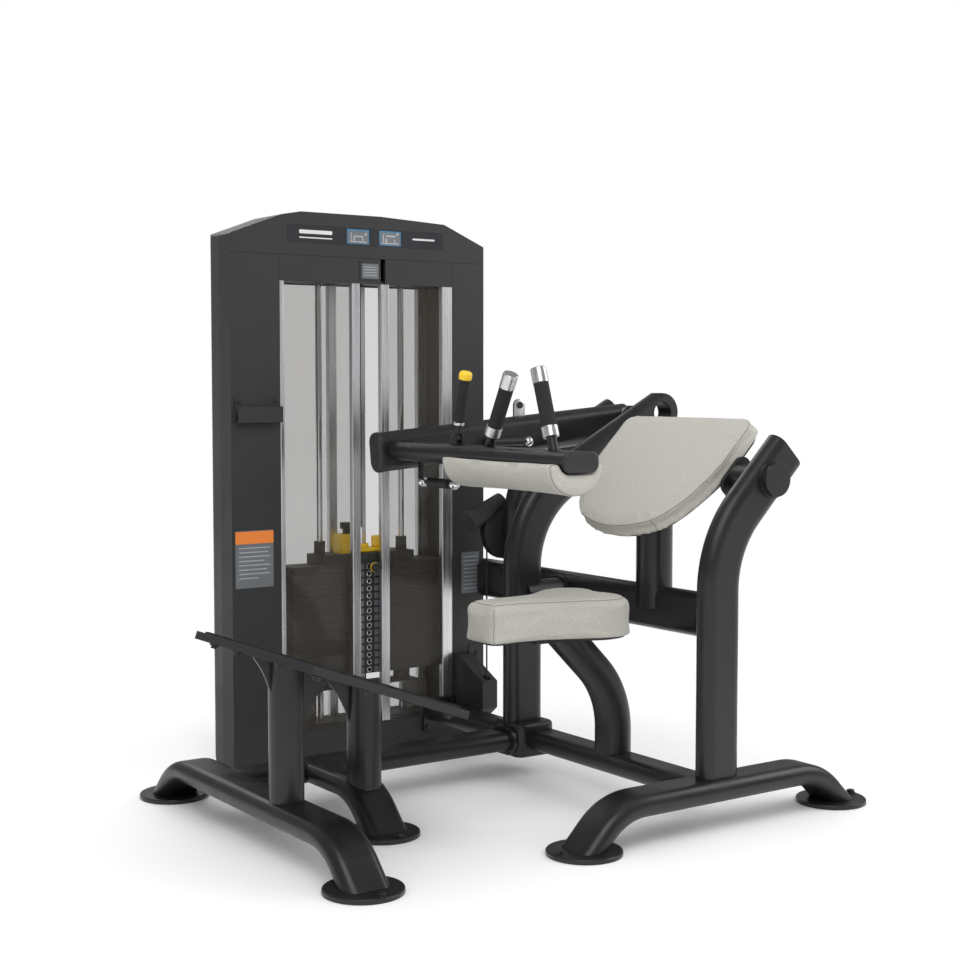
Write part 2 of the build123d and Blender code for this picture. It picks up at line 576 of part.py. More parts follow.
# ================================================================ seat
stem_knee_z = SEAT_STEM_LINE - CROSS_X
SEAT_STEM = dict(
    points=[(CROSS_X, POST_Y, RAIL_Z), (CROSS_X, POST_Y, stem_knee_z),
            (SEAT_STEM_LINE - SEAT_STEM_TOP_Z - 90, POST_Y, SEAT_STEM_TOP_Z + 90)],
    side=(0, 1, 0), width=STEM_W, depth=STEM_D, bend=240.0,
)
above_stem = span(-500, 700, -900, 900, SEAT_STEM_TOP_Z, 1200)
cross_bar = oval_bar(**CROSS_RAIL)
finish("seat_post", oval_tube(SEAT_STEM, cross_bar, above_stem))

seat_mid_x = SEAT_STEM_LINE - SEAT_STEM_TOP_Z
with BuildPart() as seat_plate:
    with BuildSketch(Plane.XY.offset(SEAT_STEM_TOP_Z)):
        with Locations((seat_mid_x - 20, POST_Y)):
            RectangleRounded(240, 110, 20)
    extrude(amount=SEAT_PLATE_T)

BOARD_T = SEAT_Z0 - SEAT_STEM_TOP_Z - SEAT_PLATE_T


def seat_layer(margin, bottom, top, edge=0.0):
    """Slab in the seat's pear outline: a round nose in front, wide and round at the back."""
    nose_x, tail_x = SEAT_NOSE_X + margin, SEAT_TAIL_X - margin
    nose_w, tail_w = SEAT_NOSE_W / 2 - margin, SEAT_TAIL_W / 2 - margin
    with BuildPart() as slab:
        with BuildSketch(Plane.XY.offset(bottom)):
            with BuildLine():
                for way in (-1, 1):
                    Spline((nose_x + 26, POST_Y + way * nose_w), (30, POST_Y + way * (nose_w + 10)),
                           (tail_x - 90, POST_Y + way * tail_w),
                           tangents=((1, 0), (1, 0)))
                    Spline((tail_x - 90, POST_Y + way * tail_w), (tail_x, POST_Y + way * (tail_w - 84)),
                           tangents=((1, 0), (0.1, -way)))
                    RadiusArc((nose_x + 26, POST_Y + way * nose_w), (nose_x, POST_Y + way * (nose_w - 26)),
                              way * -26)
                Line((nose_x, POST_Y + nose_w - 26), (nose_x, POST_Y - nose_w + 26))
                Line((tail_x, POST_Y + tail_w - 84), (tail_x, POST_Y - tail_w + 84))
            make_face()
        extrude(amount=top - bottom)
        if edge:
            fillet(slab.faces().sort_by(Axis.Z)[-1].edges(), edge)
    return slab.part


finish("seat_pad", seat_layer(0, SEAT_Z0, SEAT_Z1, 12))
finish("seat_plate", seat_plate.part, seat_layer(14, SEAT_Z0 - BOARD_T, SEAT_Z0))

# ================================================================ swing arm
arm_slope = atan2(ARM_AXIS_Z - ARM_FRONT_Z, ARM_AXIS_X - ARM_FRONT_X)
bar_z = ARM_FRONT_Z + (BAR_X - ARM_FRONT_X) * tan(arm_slope)
ARM = dict(points=[(ARM_FRONT_X, ARM_Y, ARM_FRONT_Z), (ARM_AXIS_X, ARM_Y, ARM_AXIS_Z)],
           side=(-sin(arm_slope), 0, cos(arm_slope)), width=ARM_H, depth=ARM_D)
arm_bar = oval_bar(**ARM)
hub_bar = along_y(ARM_AXIS_X, ARM_AXIS_Z, HUB_R, ARM_Y - HUB_HALF, ARM_Y + HUB_HALF)
with BuildPart() as arm_hub:
    add(hub_bar)
    add(along_y(ARM_AXIS_X, ARM_AXIS_Z, SPINDLE_R + RUN_FIT, ARM_Y - 2 * HUB_HALF, ARM_Y + 2 * HUB_HALF),
        mode=Mode.SUBTRACT)
finish("swing_arm", oval_tube(ARM, hub_bar), arm_hub.part)

# Pad crossbar: a flat-oval tube lying flat, coped into the near side of the arm
CROSSBAR = dict(points=[(BAR_X, ARM_Y, bar_z), (BAR_X, BAR_END_Y, bar_z)],
                side=(1, 0, 0), width=BAR_W, depth=BAR_H)
cross_bar_solid = oval_bar(**CROSSBAR)
finish("pad_crossbar", oval_tube(CROSSBAR, arm_bar))

# Rounded plastic caps on the front of the arm and the end of the crossbar
END_CAP_T = 14.0
with BuildPart() as arm_cap:
    with BuildSketch(Plane(origin=(ARM_FRONT_X, ARM_Y, ARM_FRONT_Z), x_dir=ARM["side"],
                           z_dir=(-cos(arm_slope), 0, -sin(arm_slope)))):
        SlotOverall(ARM_H + 2, ARM_D + 2)
    extrude(amount=END_CAP_T)
    fillet(arm_cap.faces().sort_by(Axis.X)[0].edges(), 8)
with BuildPart() as bar_cap:
    with BuildSketch(Plane(origin=(BAR_X, BAR_END_Y, bar_z), x_dir=(1, 0, 0), z_dir=(0, -1, 0))):
        RectangleRounded(BAR_W + 2, BAR_H + 2, 20)
    extrude(amount=END_CAP_T)
    fillet(bar_cap.faces().sort_by(Axis.Y)[0].edges(), 8)
finish("arm_end_caps", arm_cap.part, bar_cap.part)

# Half-round hip pad wrapped under the crossbar
HIP_TOP = 2.0                        # the pad's flat top under the crossbar's centre height
with BuildPart() as hip_pad:
    with BuildSketch(Plane(origin=(BAR_X, HIP_Y0, bar_z), x_dir=(1, 0, 0), z_dir=(0, -1, 0))):
        with BuildLine():
            Line((-HIP_W / 2, -HIP_TOP), (HIP_W / 2, -HIP_TOP))
            Bezier((HIP_W / 2, -HIP_TOP), (HIP_W / 2 + 2, -HIP_TOP - HIP_H * 0.62),
                   (HIP_W / 4 + 6, -HIP_TOP - HIP_H), (0, -HIP_TOP - HIP_H))
            Bezier((0, -HIP_TOP - HIP_H), (-HIP_W / 4 - 6, -HIP_TOP - HIP_H),
                   (-HIP_W / 2 - 2, -HIP_TOP - HIP_H * 0.62), (-HIP_W / 2, -HIP_TOP))
        make_face()
    extrude(amount=HIP_Y0 - HIP_Y1)
    fillet(hip_pad.edges().filter_by(Axis.Y), 10)
    add(cross_bar_solid, mode=Mode.SUBTRACT)
finish("hip_pad", hip_pad.part)

# Grips: slanted stems on the crossbar, each with a collar, a sleeve and a cap
STEM_R, SLEEVE_R, COLLAR_R = 13.0, 19.0, 21.0
GRIP_FOOT_Z = bar_z + BAR_H / 2
GRIPS = [((BAR_X, -202.0, GRIP_FOOT_Z), (0, -98.0, 188.0)), ((BAR_X, -479.0, GRIP_FOOT_Z), (0, 61.0, 188.0))]
COLLAR_AT, SLEEVE_AT, SLEEVE_L, CAP_L = 34.0, 60.0, 112.0, 40.0
GRIP_L = SLEEVE_AT + SLEEVE_L + CAP_L


def rod_on(foot, direction, radius, start, end, inner=0.0):
    """Round rod or sleeve between two distances along a slanted axis."""
    with BuildPart() as rod:
        with BuildSketch(Plane(origin=foot, x_dir=(1, 0, 0), z_dir=direction).offset(start)):
            Circle(radius)
            if inner:
                Circle(inner, mode=Mode.SUBTRACT)
        extrude(amount=end - start)
    return rod.part


stems, sleeves, fittings = [], [], []
for foot, direction in GRIPS:
    with BuildPart() as stem:
        add(rod_on(foot, direction, STEM_R, -20, SLEEVE_AT + SLEEVE_L))
        add(cross_bar_solid, mode=Mode.SUBTRACT)
    stems.append(stem.part)
    sleeves.append(rod_on(foot, direction, SLEEVE_R, SLEEVE_AT, SLEEVE_AT + SLEEVE_L, STEM_R))
    fittings.append(rod_on(foot, direction, COLLAR_R, COLLAR_AT, SLEEVE_AT, STEM_R))
    with BuildPart() as cap:
        add(rod_on(foot, direction, SLEEVE_R + 1, SLEEVE_AT + SLEEVE_L, GRIP_L))
        fillet(cap.edges().sort_by(Axis.Z)[-1], 3)
    fittings.append(cap.part)
finish("grip_stems", *stems)
finish("grip_sleeves", *sleeves)
finish("grip_fittings", *fittings)

# Release lever: a thin stem in a clevis on the crossbar, with a sleeve and a yellow cap
LEVER_Y = -54.0
LEVER_AXIS_Z = GRIP_FOOT_Z + 16
LEVER_DIR = (0, -42.0, 170.0)
LEVER_L, LEVER_CAP_L = 176.0, 18.0
LEVER_CAP_R, LEVER_SLEEVE_R, LEVER_STEM_R = 17.5, 13.5, 6.0
lever_foot = (BAR_X, LEVER_Y, LEVER_AXIS_Z)
with BuildPart() as lever_stem:
    add(along_x(LEVER_Y, LEVER_AXIS_Z, 11, BAR_X - 7, BAR_X + 7))
    add(rod_on(lever_foot, LEVER_DIR, LEVER_STEM_R, 8, LEVER_L - LEVER_CAP_L))
    add(along_x(LEVER_Y, LEVER_AXIS_Z, 5 + RUN_FIT, BAR_X - 20, BAR_X + 20), mode=Mode.SUBTRACT)
lever_sleeve = rod_on(lever_foot, LEVER_DIR, LEVER_SLEEVE_R, 46, LEVER_L - LEVER_CAP_L, LEVER_STEM_R)
lever_collar = rod_on(lever_foot, LEVER_DIR, LEVER_SLEEVE_R + 1, 38, 46, LEVER_STEM_R)
lever_cap = rod_on(lever_foot, LEVER_DIR, LEVER_CAP_R, LEVER_L - LEVER_CAP_L, LEVER_L + 4)
finish("release_lever", lever_stem.part, lever_sleeve, lever_collar, lever_cap)

# Clevis ears and pin of the lever, and the lock bracket on top of the arm
with BuildPart() as lever_clevis:
    for x in (BAR_X - 14, BAR_X + 8):
        with BuildSketch(Plane(origin=(x, LEVER_Y, GRIP_FOOT_Z - 1), x_dir=(0, 1, 0), z_dir=(1, 0, 0))):
            with Locations((0, 13)):
                RectangleRounded(26, 34, 8)
        extrude(amount=6)
    add(cross_bar_solid, mode=Mode.SUBTRACT)
    add(along_x(LEVER_Y, LEVER_AXIS_Z, 5, BAR_X - 16, BAR_X + 16))
BRACKET_X = 322.0
BRACKET_Y = ARM_Y
bracket_foot = ARM_FRONT_Z + (BRACKET_X - ARM_FRONT_X) * tan(arm_slope) + ARM_H / 2 - 8
with BuildPart() as lock_bracket:
    with BuildSketch(Plane(origin=(BRACKET_X, BRACKET_Y + 3, bracket_foot), x_dir=(1, 0, 0), z_dir=(0, -1, 0))):
        with BuildLine():
            Polyline((-19, 40), (-19, 0), (19, 0), (19, 40))
            RadiusArc((19, 40), (-19, 40), -19.01)
        make_face()
        with Locations((0, 40)):
            Circle(6, mode=Mode.SUBTRACT)
    extrude(amount=6)
    add(arm_bar, mode=Mode.SUBTRACT)
with BuildPart() as lock_bolt:
    add(along_y(BRACKET_X, bracket_foot + 40, 6, BRACKET_Y - 9, BRACKET_Y + 6))
    add(along_y(BRACKET_X, bracket_foot + 40, 10, BRACKET_Y - 9, BRACKET_Y - 3))
finish("lock_fittings", lever_clevis.part, lock_bracket.part, lock_bolt.part)

# Plunger along the near side of the arm: barrel, saddle blocks and chrome knob
PLUNGER_Y, PLUNGER_Z = ARM_Y - ARM_D / 2 - 18, 952.0
with BuildPart() as plunger_barrel:
    add(along_x(PLUNGER_Y, PLUNGER_Z, 13, 170, 300))
    add(span(200, 216, PLUNGER_Y - 8, ARM_Y, PLUNGER_Z - 8, PLUNGER_Z + 8))
    add(span(262, 278, PLUNGER_Y - 8, ARM_Y, PLUNGER_Z - 8, PLUNGER_Z + 8))
    add(arm_bar, mode=Mode.SUBTRACT)
with BuildPart() as plunger_knob:
    add(along_x(PLUNGER_Y, PLUNGER_Z, 6, 300, 310))
    with Locations((322, PLUNGER_Y, PLUNGER_Z)):
        Sphere(15)

# Adjusting rod slung under the arm and crossbar, with ball ends
ROD_X, ROD_Z = -62.0, bar_z - BAR_H / 2 - 62
with BuildPart() as adjust_rod:
    add(along_y(ROD_X, ROD_Z, 10, 40, 150))
    add(along_y(ROD_X, ROD_Z, 6, 20, 170))
    with Locations((ROD_X, 20, ROD_Z), (ROD_X, 176, ROD_Z)):
        Sphere(13)
    add(span(ROD_X - 5, ROD_X + 5, 10, 30, ROD_Z, bar_z))
    add(span(ROD_X - 5, ROD_X + 5, 182, 194, ROD_Z - 8, bar_z))
    add(cross_bar_solid, mode=Mode.SUBTRACT)
finish("arm_adjuster", plunger_barrel.part, plunger_knob.part, adjust_rod.part)

# ================================================================ spindle, crank and link
link_dx, link_dz = ARM_AXIS_X - CAM_X, ARM_AXIS_Z - CAM_Z
link_length = hypot(link_dx, link_dz)
CRANK_REST = 22.5                    # crank short of square to the link at rest, half its travel
crank_angle = atan2(-link_dx, link_dz) + radians(CRANK_REST)
crank_dx, crank_dz = CRANK_R * cos(crank_angle), CRANK_R * sin(crank_angle)
LINK_PIN_R, LINK_EYE_R = 8.0, 14.0
OPEN_PIVOT_GAP = 0.4                 # the linkage is opened at the crank's pin
PIN_HEAD_R = 12.0


def strap(x0, z0, x1, z1, radius, y0, y1):
    """Round-ended strap between two points, lying in an X-Z plane."""
    length = hypot(x1 - x0, z1 - z0)
    with BuildPart() as plate:
        with BuildSketch(Plane(origin=(x0, y1, z0), x_dir=(x1 - x0, 0, z1 - z0), z_dir=(0, -1, 0))):
            with Locations((length / 2, 0)):
                SlotOverall(length + 2 * radius, 2 * radius)
        extrude(amount=y1 - y0)
    return plate.part


with BuildPart() as crank_spindle:
    add(along_y(ARM_AXIS_X, ARM_AXIS_Z, SPINDLE_R, ARM_Y - HUB_HALF - 4, CRANK_Y1))
    add(along_y(ARM_AXIS_X, ARM_AXIS_Z, 34, ARM_Y - HUB_HALF - 12, ARM_Y - HUB_HALF - SIDE_GAP))
    add(along_y(ARM_AXIS_X, ARM_AXIS_Z, 30, ARM_Y + HUB_HALF + SIDE_GAP, HOUSING_Y0 - SIDE_GAP))
    add(strap(ARM_AXIS_X, ARM_AXIS_Z, ARM_AXIS_X + crank_dx, ARM_AXIS_Z + crank_dz, CRANK_HALF_W, CRANK_Y0, CRANK_Y1))
    add(along_y(ARM_AXIS_X + crank_dx, ARM_AXIS_Z + crank_dz, LINK_PIN_R, CRANK_Y0, LINK_Y1 + 2))
    add(along_y(ARM_AXIS_X + crank_dx, ARM_AXIS_Z + crank_dz, PIN_HEAD_R, LINK_Y1 + 1, LINK_Y1 + 5))
finish("crank_spindle", crank_spindle.part)

with BuildPart() as drive_link:
    add(strap(CAM_X + crank_dx, CAM_Z + crank_dz, ARM_AXIS_X + crank_dx, ARM_AXIS_Z + crank_dz,
              LINK_EYE_R, LINK_Y0, LINK_Y1))
    add(along_y(CAM_X + crank_dx, CAM_Z + crank_dz, LINK_PIN_R + RUN_FIT, LINK_Y0, LINK_Y1),
        mode=Mode.SUBTRACT)
    add(along_y(ARM_AXIS_X + crank_dx, ARM_AXIS_Z + crank_dz, LINK_PIN_R + OPEN_PIVOT_GAP, LINK_Y0, LINK_Y1),
        mode=Mode.SUBTRACT)
finish("drive_link", drive_link.part)

# ================================================================ cam and its bracket
CAM_AXLE_R, CAM_FLANGE_T = 12.0, 4.0
BRACKET_Y0, BRACKET_Y1 = CAM_Y0 - 16, CAM_Y0 - 4
with BuildPart() as cam_wheel:
    add(along_y(CAM_X, CAM_Z, GROOVE_R - CABLE_R - 0.5, CAM_Y0, CAM_Y1))
    add(along_y(CAM_X, CAM_Z, CAM_R, CAM_Y0, CAM_Y0 + CAM_FLANGE_T))
    add(along_y(CAM_X, CAM_Z, CAM_R, CAM_Y1 - CAM_FLANGE_T, CAM_Y1))
    add(along_y(CAM_X, CAM_Z, CAM_AXLE_R + RUN_FIT, CAM_Y0 - 5, CAM_Y1 + 5), mode=Mode.SUBTRACT)
    with BuildSketch(Plane(origin=(CAM_X, CAM_Y1, CAM_Z), x_dir=(1, 0, 0), z_dir=(0, -1, 0))):
        SlotArc(CenterArc((0, 0), 46, 175, 95), 14)
    extrude(amount=CAM_Y1 - CAM_Y0, mode=Mode.SUBTRACT)
    add(along_y(CAM_X + crank_dx, CAM_Z + crank_dz, LINK_PIN_R, CAM_Y1 - 2, LINK_Y1 + 2))
    add(along_y(CAM_X + crank_dx, CAM_Z + crank_dz, PIN_HEAD_R, LINK_Y1 + 1, LINK_Y1 + 5))

# Counterweight sleeve on the rim, with a flange at its free end
WEIGHT_FROM, WEIGHT_TO = (262.0, 699.0), (386.0, 756.0)
weight_dir = (WEIGHT_TO[0] - WEIGHT_FROM[0], 0, WEIGHT_TO[1] - WEIGHT_FROM[1])
WEIGHT_L = hypot(weight_dir[0], weight_dir[2])
cam_mid_y = (CAM_Y0 + CAM_Y1) / 2
weight_foot = (WEIGHT_FROM[0], cam_mid_y, WEIGHT_FROM[1])
with BuildPart() as counterweight:
    add(rod_on(weight_foot, weight_dir, 31, 0, WEIGHT_L))
    add(rod_on(weight_foot, weight_dir, 35, 0, 8))
    add(along_y(CAM_X, CAM_Z, CAM_R, CAM_Y0 - 60, CAM_Y1 + 60), mode=Mode.SUBTRACT)
finish("cam", cam_wheel.part, counterweight.part)

with BuildPart() as cam_bracket:
    with BuildSketch(Plane(origin=(CAM_X, BRACKET_Y1, CAM_Z), x_dir=(1, 0, 0), z_dir=(0, -1, 0))):
        Circle(28)
        with Locations((BEAM_X - CAM_X, (BEAM_Z - CAM_Z) / 2)):
            Rectangle(52, CAM_Z - BEAM_Z)
        Circle(CAM_AXLE_R, mode=Mode.SUBTRACT)
    extrude(amount=BRACKET_Y1 - BRACKET_Y0)
    add(beam_bar, mode=Mode.SUBTRACT)
with BuildPart() as cam_axle:
    add(along_y(CAM_X, CAM_Z, CAM_AXLE_R, BRACKET_Y0, CAM_Y1 + 2))
    add(along_y(CAM_X, CAM_Z, CAM_AXLE_R + 5, CAM_Y1 + 1, CAM_Y1 + 5))
finish("cam_bracket", cam_bracket.part, cam_axle.part)

# ================================================================ cable route and pulleys
cable_x = CAM_X - GROOVE_R
cable_y = cam_mid_y
lower_y = cable_y + PULLEY_R
base_y = STACK_Y - PULLEY_R
top_z = 1484.0
low_z = LOWER_PULLEY_Z - PULLEY_R
CABLE_POINTS = [(cable_x, cable_y, CAM_Z), (cable_x, cable_y, low_z), (cable_x, STACK_Y, low_z),
                (cable_x, STACK_Y, top_z + PULLEY_R), (STACK_X, STACK_Y, top_z + PULLEY_R),
                (STACK_X, STACK_Y, top_z - 10)]
with BuildPart() as drive_cable:
    with BuildLine() as cable_route:
        FilletPolyline(*CABLE_POINTS, radius=PULLEY_R)
    with BuildSketch(Plane(origin=cable_route.line @ 0, z_dir=cable_route.line % 0)):
        Circle(CABLE_R)
    sweep()
finish("drive_cable", drive_cable.part)


def pulley(rod, a, b, middle):
    """Grooved wheel on an axis that rod draws along, with its bore."""
    with BuildPart() as wheel:
        add(rod(a, b, PULLEY_R - CABLE_R - 0.4, middle - PULLEY_HALF, middle + PULLEY_HALF))
        add(rod(a, b, PULLEY_RIM_R, middle - PULLEY_HALF, middle - PULLEY_HALF + 4))
        add(rod(a, b, PULLEY_RIM_R, middle + PULLEY_HALF - 4, middle + PULLEY_HALF))
        add(rod(a, b, AXLE_R + RUN_FIT, middle - 2 * PULLEY_HALF, middle + 2 * PULLEY_HALF),
            mode=Mode.SUBTRACT)
        for k in range(5):
            turn = radians(72 * k)
            add(rod(a + 24 * cos(turn), b + 24 * sin(turn), 6, middle - 20, middle + 20), mode=Mode.SUBTRACT)
    return wheel.part


finish("lower_pulley", pulley(along_x, lower_y, LOWER_PULLEY_Z, cable_x))
finish("base_pulley", pulley(along_x, base_y, LOWER_PULLEY_Z, cable_x))
top_x = (cable_x - PULLEY_R, STACK_X + PULLEY_R)
finish("top_pulley_outer", pulley(along_y, top_x[0], top_z, STACK_Y))
finish("top_pulley_inner", pulley(along_y, top_x[1], top_z, STACK_Y))

# Cover of the lower pulley, a folded shroud that also carries its axle
COVER_X0, COVER_X1, COVER_WALL = cable_x - 27, cable_x + 27, 3.0
COVER_Y0 = cable_y - 18


def cover_profile(inset, reach):
    """Side outline of the cover: flat foot, rounded nose and a long slanted top."""
    return [(TOWER_Y0 + reach, 96 + inset), (COVER_Y0 + 34, 96 + inset), (COVER_Y0 + inset, 122 + inset),
            (COVER_Y0 + inset, 205 - inset), (TOWER_Y0 - 24, 272 - inset), (TOWER_Y0 + reach, 272 - inset)]


with BuildPart() as cable_cover:
    with BuildSketch(Plane(origin=(COVER_X0, 0, 0), x_dir=(0, 1, 0), z_dir=(1, 0, 0))):
        Polygon(*cover_profile(0, 0), align=None)
    extrude(amount=COVER_X1 - COVER_X0)
    with BuildSketch(Plane(origin=(COVER_X0 + COVER_WALL, 0, 0), x_dir=(0, 1, 0), z_dir=(1, 0, 0))):
        Polygon(*cover_profile(COVER_WALL, 20), align=None)
    extrude(amount=COVER_X1 - COVER_X0 - 2 * COVER_WALL, mode=Mode.SUBTRACT)
    add(span(cable_x - 9, cable_x + 9, cable_y - 10, cable_y + 14, 190, 330), mode=Mode.SUBTRACT)
    add(span(COVER_X1, TOWER_X1 - 8, TOWER_Y0 - 3, TOWER_Y0, 236, 296))
with BuildPart() as cover_screw:
    add(along_y(TOWER_X1 - 26, 266, 8, TOWER_Y0 - 8, TOWER_Y0 - 3))
axle_lower = along_x(lower_y, LOWER_PULLEY_Z, AXLE_R, COVER_X0 + COVER_WALL, COVER_X1 - COVER_WALL)
finish("cable_cover", cable_cover.part, cover_screw.part, axle_lower)

# ================================================================ weight tower frame
FACET = 4.5                          # the outer sides bulge to a shallow ridge
BACK_TAPER = 22.0


def column_profile(outer_x, inner_x, inset):
    """Plan outline of a side column: flat front, faceted side, tapered back corner."""
    way = 1 if outer_x > inner_x else -1
    depth = TOWER_Y1 - TOWER_Y0
    return [(inner_x + way * inset, TOWER_Y0 + inset), (outer_x - way * inset, TOWER_Y0 + inset),
            (outer_x + way * (FACET - inset), TOWER_Y0 + depth * 0.36),
            (outer_x - way * inset, TOWER_Y0 + depth * 0.7),
            (outer_x - way * (BACK_TAPER + inset * 0.6), TOWER_Y1 - inset), (inner_x + way * inset, TOWER_Y1 - inset)]


def column_shell(outer_x, inner_x):
    """Folded sheet column, open at the foot and the head."""
    with BuildPart() as shell:
        with BuildSketch(Plane.XY.offset(BASE_Z0)):
            Polygon(*column_profile(outer_x, inner_x, 0), align=None)
            Polygon(*column_profile(outer_x, inner_x, PANEL_WALL), align=None, mode=Mode.SUBTRACT)
        extrude(amount=CROWN_Z0 - BASE_Z0)
    return shell.part


with BuildPart() as right_column:
    add(column_shell(TOWER_X1, WINDOW_X1))
    add(span(cable_x - 14, cable_x + 14, TOWER_Y0 - 5, TOWER_Y0 + 5, 105, 250), mode=Mode.SUBTRACT)
    add(span(WINDOW_X1 - 5, WINDOW_X1 + 5, STACK_Y - 18, STACK_Y + 18, HEADER_Z0, CROWN_Z0 + 5),
        mode=Mode.SUBTRACT)
finish("tower_columns", column_shell(TOWER_X0, WINDOW_X0), right_column.part)

# Base: a plate under everything, a channel under the window, levelling feet
BASE_PLATE_Z0 = 12.0
LEVEL_FOOT_R = 25.0


def tower_slab(inset, z0, z1):
    """Slab in the whole tower's plan outline, drawn in all round by an inset."""
    right = column_profile(TOWER_X1, WINDOW_X1, inset)
    left = column_profile(TOWER_X0, WINDOW_X0, inset)
    with BuildPart() as slab:
        with BuildSketch(Plane.XY.offset(z0)):
            Polygon(*right[1:5], *left[4:0:-1], align=None)
        extrude(amount=z1 - z0)
    return slab.part


with BuildPart() as base_plate:
    add(tower_slab(0, BASE_PLATE_Z0, BASE_Z0))
with BuildPart() as base_channel:
    add(span(WINDOW_X0, WINDOW_X1, TOWER_Y0, TOWER_Y1, BASE_Z0, BASE_Z1))
    add(span(WINDOW_X0, WINDOW_X1, TOWER_Y0 + 4, TOWER_Y1 - 4, BASE_Z0, BASE_Z1 - 4), mode=Mode.SUBTRACT)
with BuildPart() as level_feet:
    for x in (TOWER_X0 + 50, TOWER_X1 - 50):
        for y in (TOWER_Y0 + 35, TOWER_Y1 - 35):
            add(along_z(x, y, LEVEL_FOOT_R, 0, BASE_PLATE_Z0))
with BuildPart() as base_fork:
    for x in (cable_x - 16, cable_x + 12):
        with BuildSketch(Plane(origin=(x, base_y, BASE_Z0), x_dir=(0, 1, 0), z_dir=(1, 0, 0))):
            with Locations((0, (LOWER_PULLEY_Z + 16 - BASE_Z0) / 2)):
                Rectangle(34, LOWER_PULLEY_Z + 16 - BASE_Z0)
        extrude(amount=4)
    add(along_x(base_y, LOWER_PULLEY_Z, AXLE_R, cable_x - 16, cable_x + 16))
finish("tower_base", base_plate.part, base_channel.part, level_feet.part, base_fork.part)

# Crown: hollow cap with a crowned top, recessed for the instruction panel
CROWN_POINTS = [(TOWER_X0 - FACET, CROWN_Z0), (TOWER_X0 - FACET, CROWN_SIDE_Z), (-296.5, CROWN_SHOULDER_Z),
                (-233.5, CROWN_TOP_Z), (36.5, CROWN_TOP_Z), (266.5, CROWN_SHOULDER_Z),
                (TOWER_X1 + FACET, CROWN_SIDE_Z), (TOWER_X1 + FACET, CROWN_Z0)]
CROWN_WALL = 4.0
PANEL_X0, PANEL_X1, PANEL_Z0, PANEL_Z1 = -279.0, 262.0, 1533.0, 1584.0
PANEL_RECESS = 2.0
with BuildPart() as crown_cavity:
    with BuildSketch(Plane(origin=(0, TOWER_Y1, 0), x_dir=(1, 0, 0), z_dir=(0, -1, 0))) as crown_face:
        Polygon(*CROWN_POINTS, align=None)
        fillet(crown_face.vertices().group_by(Axis.Y)[1:], 14)
        offset(amount=-CROWN_WALL)
    extrude(amount=TOWER_Y1 - TOWER_Y0)
    add(span(TOWER_X0, TOWER_X1, TOWER_Y0, TOWER_Y1, CROWN_Z0 - 5, CROWN_Z0 + 10))
    add(tower_slab(CROWN_WALL, CROWN_Z0 - 5, CROWN_TOP_Z), mode=Mode.INTERSECT)
with BuildPart() as tower_crown:
    with BuildSketch(Plane(origin=(0, TOWER_Y1, 0), x_dir=(1, 0, 0), z_dir=(0, -1, 0))) as crown_outline:
        Polygon(*CROWN_POINTS, align=None)
        fillet(crown_outline.vertices().group_by(Axis.Y)[1:], 14)
    extrude(amount=TOWER_Y1 - TOWER_Y0)
    add(tower_slab(0, CROWN_Z0, CROWN_TOP_Z + 5), mode=Mode.INTERSECT)
    add(crown_cavity.part, mode=Mode.SUBTRACT)
    add(span(PANEL_X0, PANEL_X1, TOWER_Y0 - 5, TOWER_Y0 + PANEL_RECESS, PANEL_Z0, PANEL_Z1),
        mode=Mode.SUBTRACT)
finish("tower_crown", tower_crown.part)
finish("instruction_panel", span(PANEL_X0, PANEL_X1, TOWER_Y0 - 0.5, TOWER_Y0 + PANEL_RECESS,
                                 PANEL_Z0, PANEL_Z1))

# Headers over the windows, with a slot beside the tag plate
SLOT_X0, SLOT_X1 = 36.5, 53.5
HEADER_T = 12.0
finish("tower_headers",
       span(WINDOW_X0, SLOT_X0, TOWER_Y0, TOWER_Y0 + HEADER_T, HEADER_Z0, CROWN_Z0),
       span(SLOT_X1, WINDOW_X1, TOWER_Y0, TOWER_Y0 + HEADER_T, HEADER_Z0, CROWN_Z0),
       span(WINDOW_X0, WINDOW_X1, TOWER_Y1 - HEADER_T, TOWER_Y1, HEADER_Z0, CROWN_Z0),
       span(-35.5, 34.5, TOWER_Y0 - 2, TOWER_Y0, HEADER_Z0 + 10, CROWN_Z0 - 10))

# Window posts: bright hollow extrusions, four in front and four behind
FRONT_POSTS = [(WINDOW_X0, -290.5), (-63.5, -35.5), (37.5, 66.5), (258.5, WINDOW_X1)]


def post(x0, x1, y):
    """One hollow rectangular extrusion."""
    with BuildPart() as tube:
        with BuildSketch(Plane.XY.offset(BASE_Z1)):
            with Locations(((x0 + x1) / 2, y + POST_DEPTH / 2)):
                RectangleRounded(x1 - x0, POST_DEPTH, 3)
                RectangleRounded(x1 - x0 - 4, POST_DEPTH - 4, 1.5, mode=Mode.SUBTRACT)
        extrude(amount=HEADER_Z0 - BASE_Z1)
    return tube.part


finish("window_posts", *[post(x0, x1, y) for y in (TOWER_Y0, REAR_POST_Y) for x0, x1 in FRONT_POSTS])

# Clear shields: one in each front window, one full sheet behind the rear posts
SHIELD_Y = TOWER_Y0 + 8
finish("clear_shields",
       span(FRONT_POSTS[0][1], FRONT_POSTS[1][0], SHIELD_Y, SHIELD_Y + SHIELD_T, BASE_Z1, HEADER_Z0),
       span(FRONT_POSTS[2][1], FRONT_POSTS[3][0], SHIELD_Y, SHIELD_Y + SHIELD_T, BASE_Z1, HEADER_Z0),
       span(WINDOW_X0, WINDOW_X1, TOWER_Y1 - 7, TOWER_Y1 - 2, BASE_Z1, HEADER_Z0))

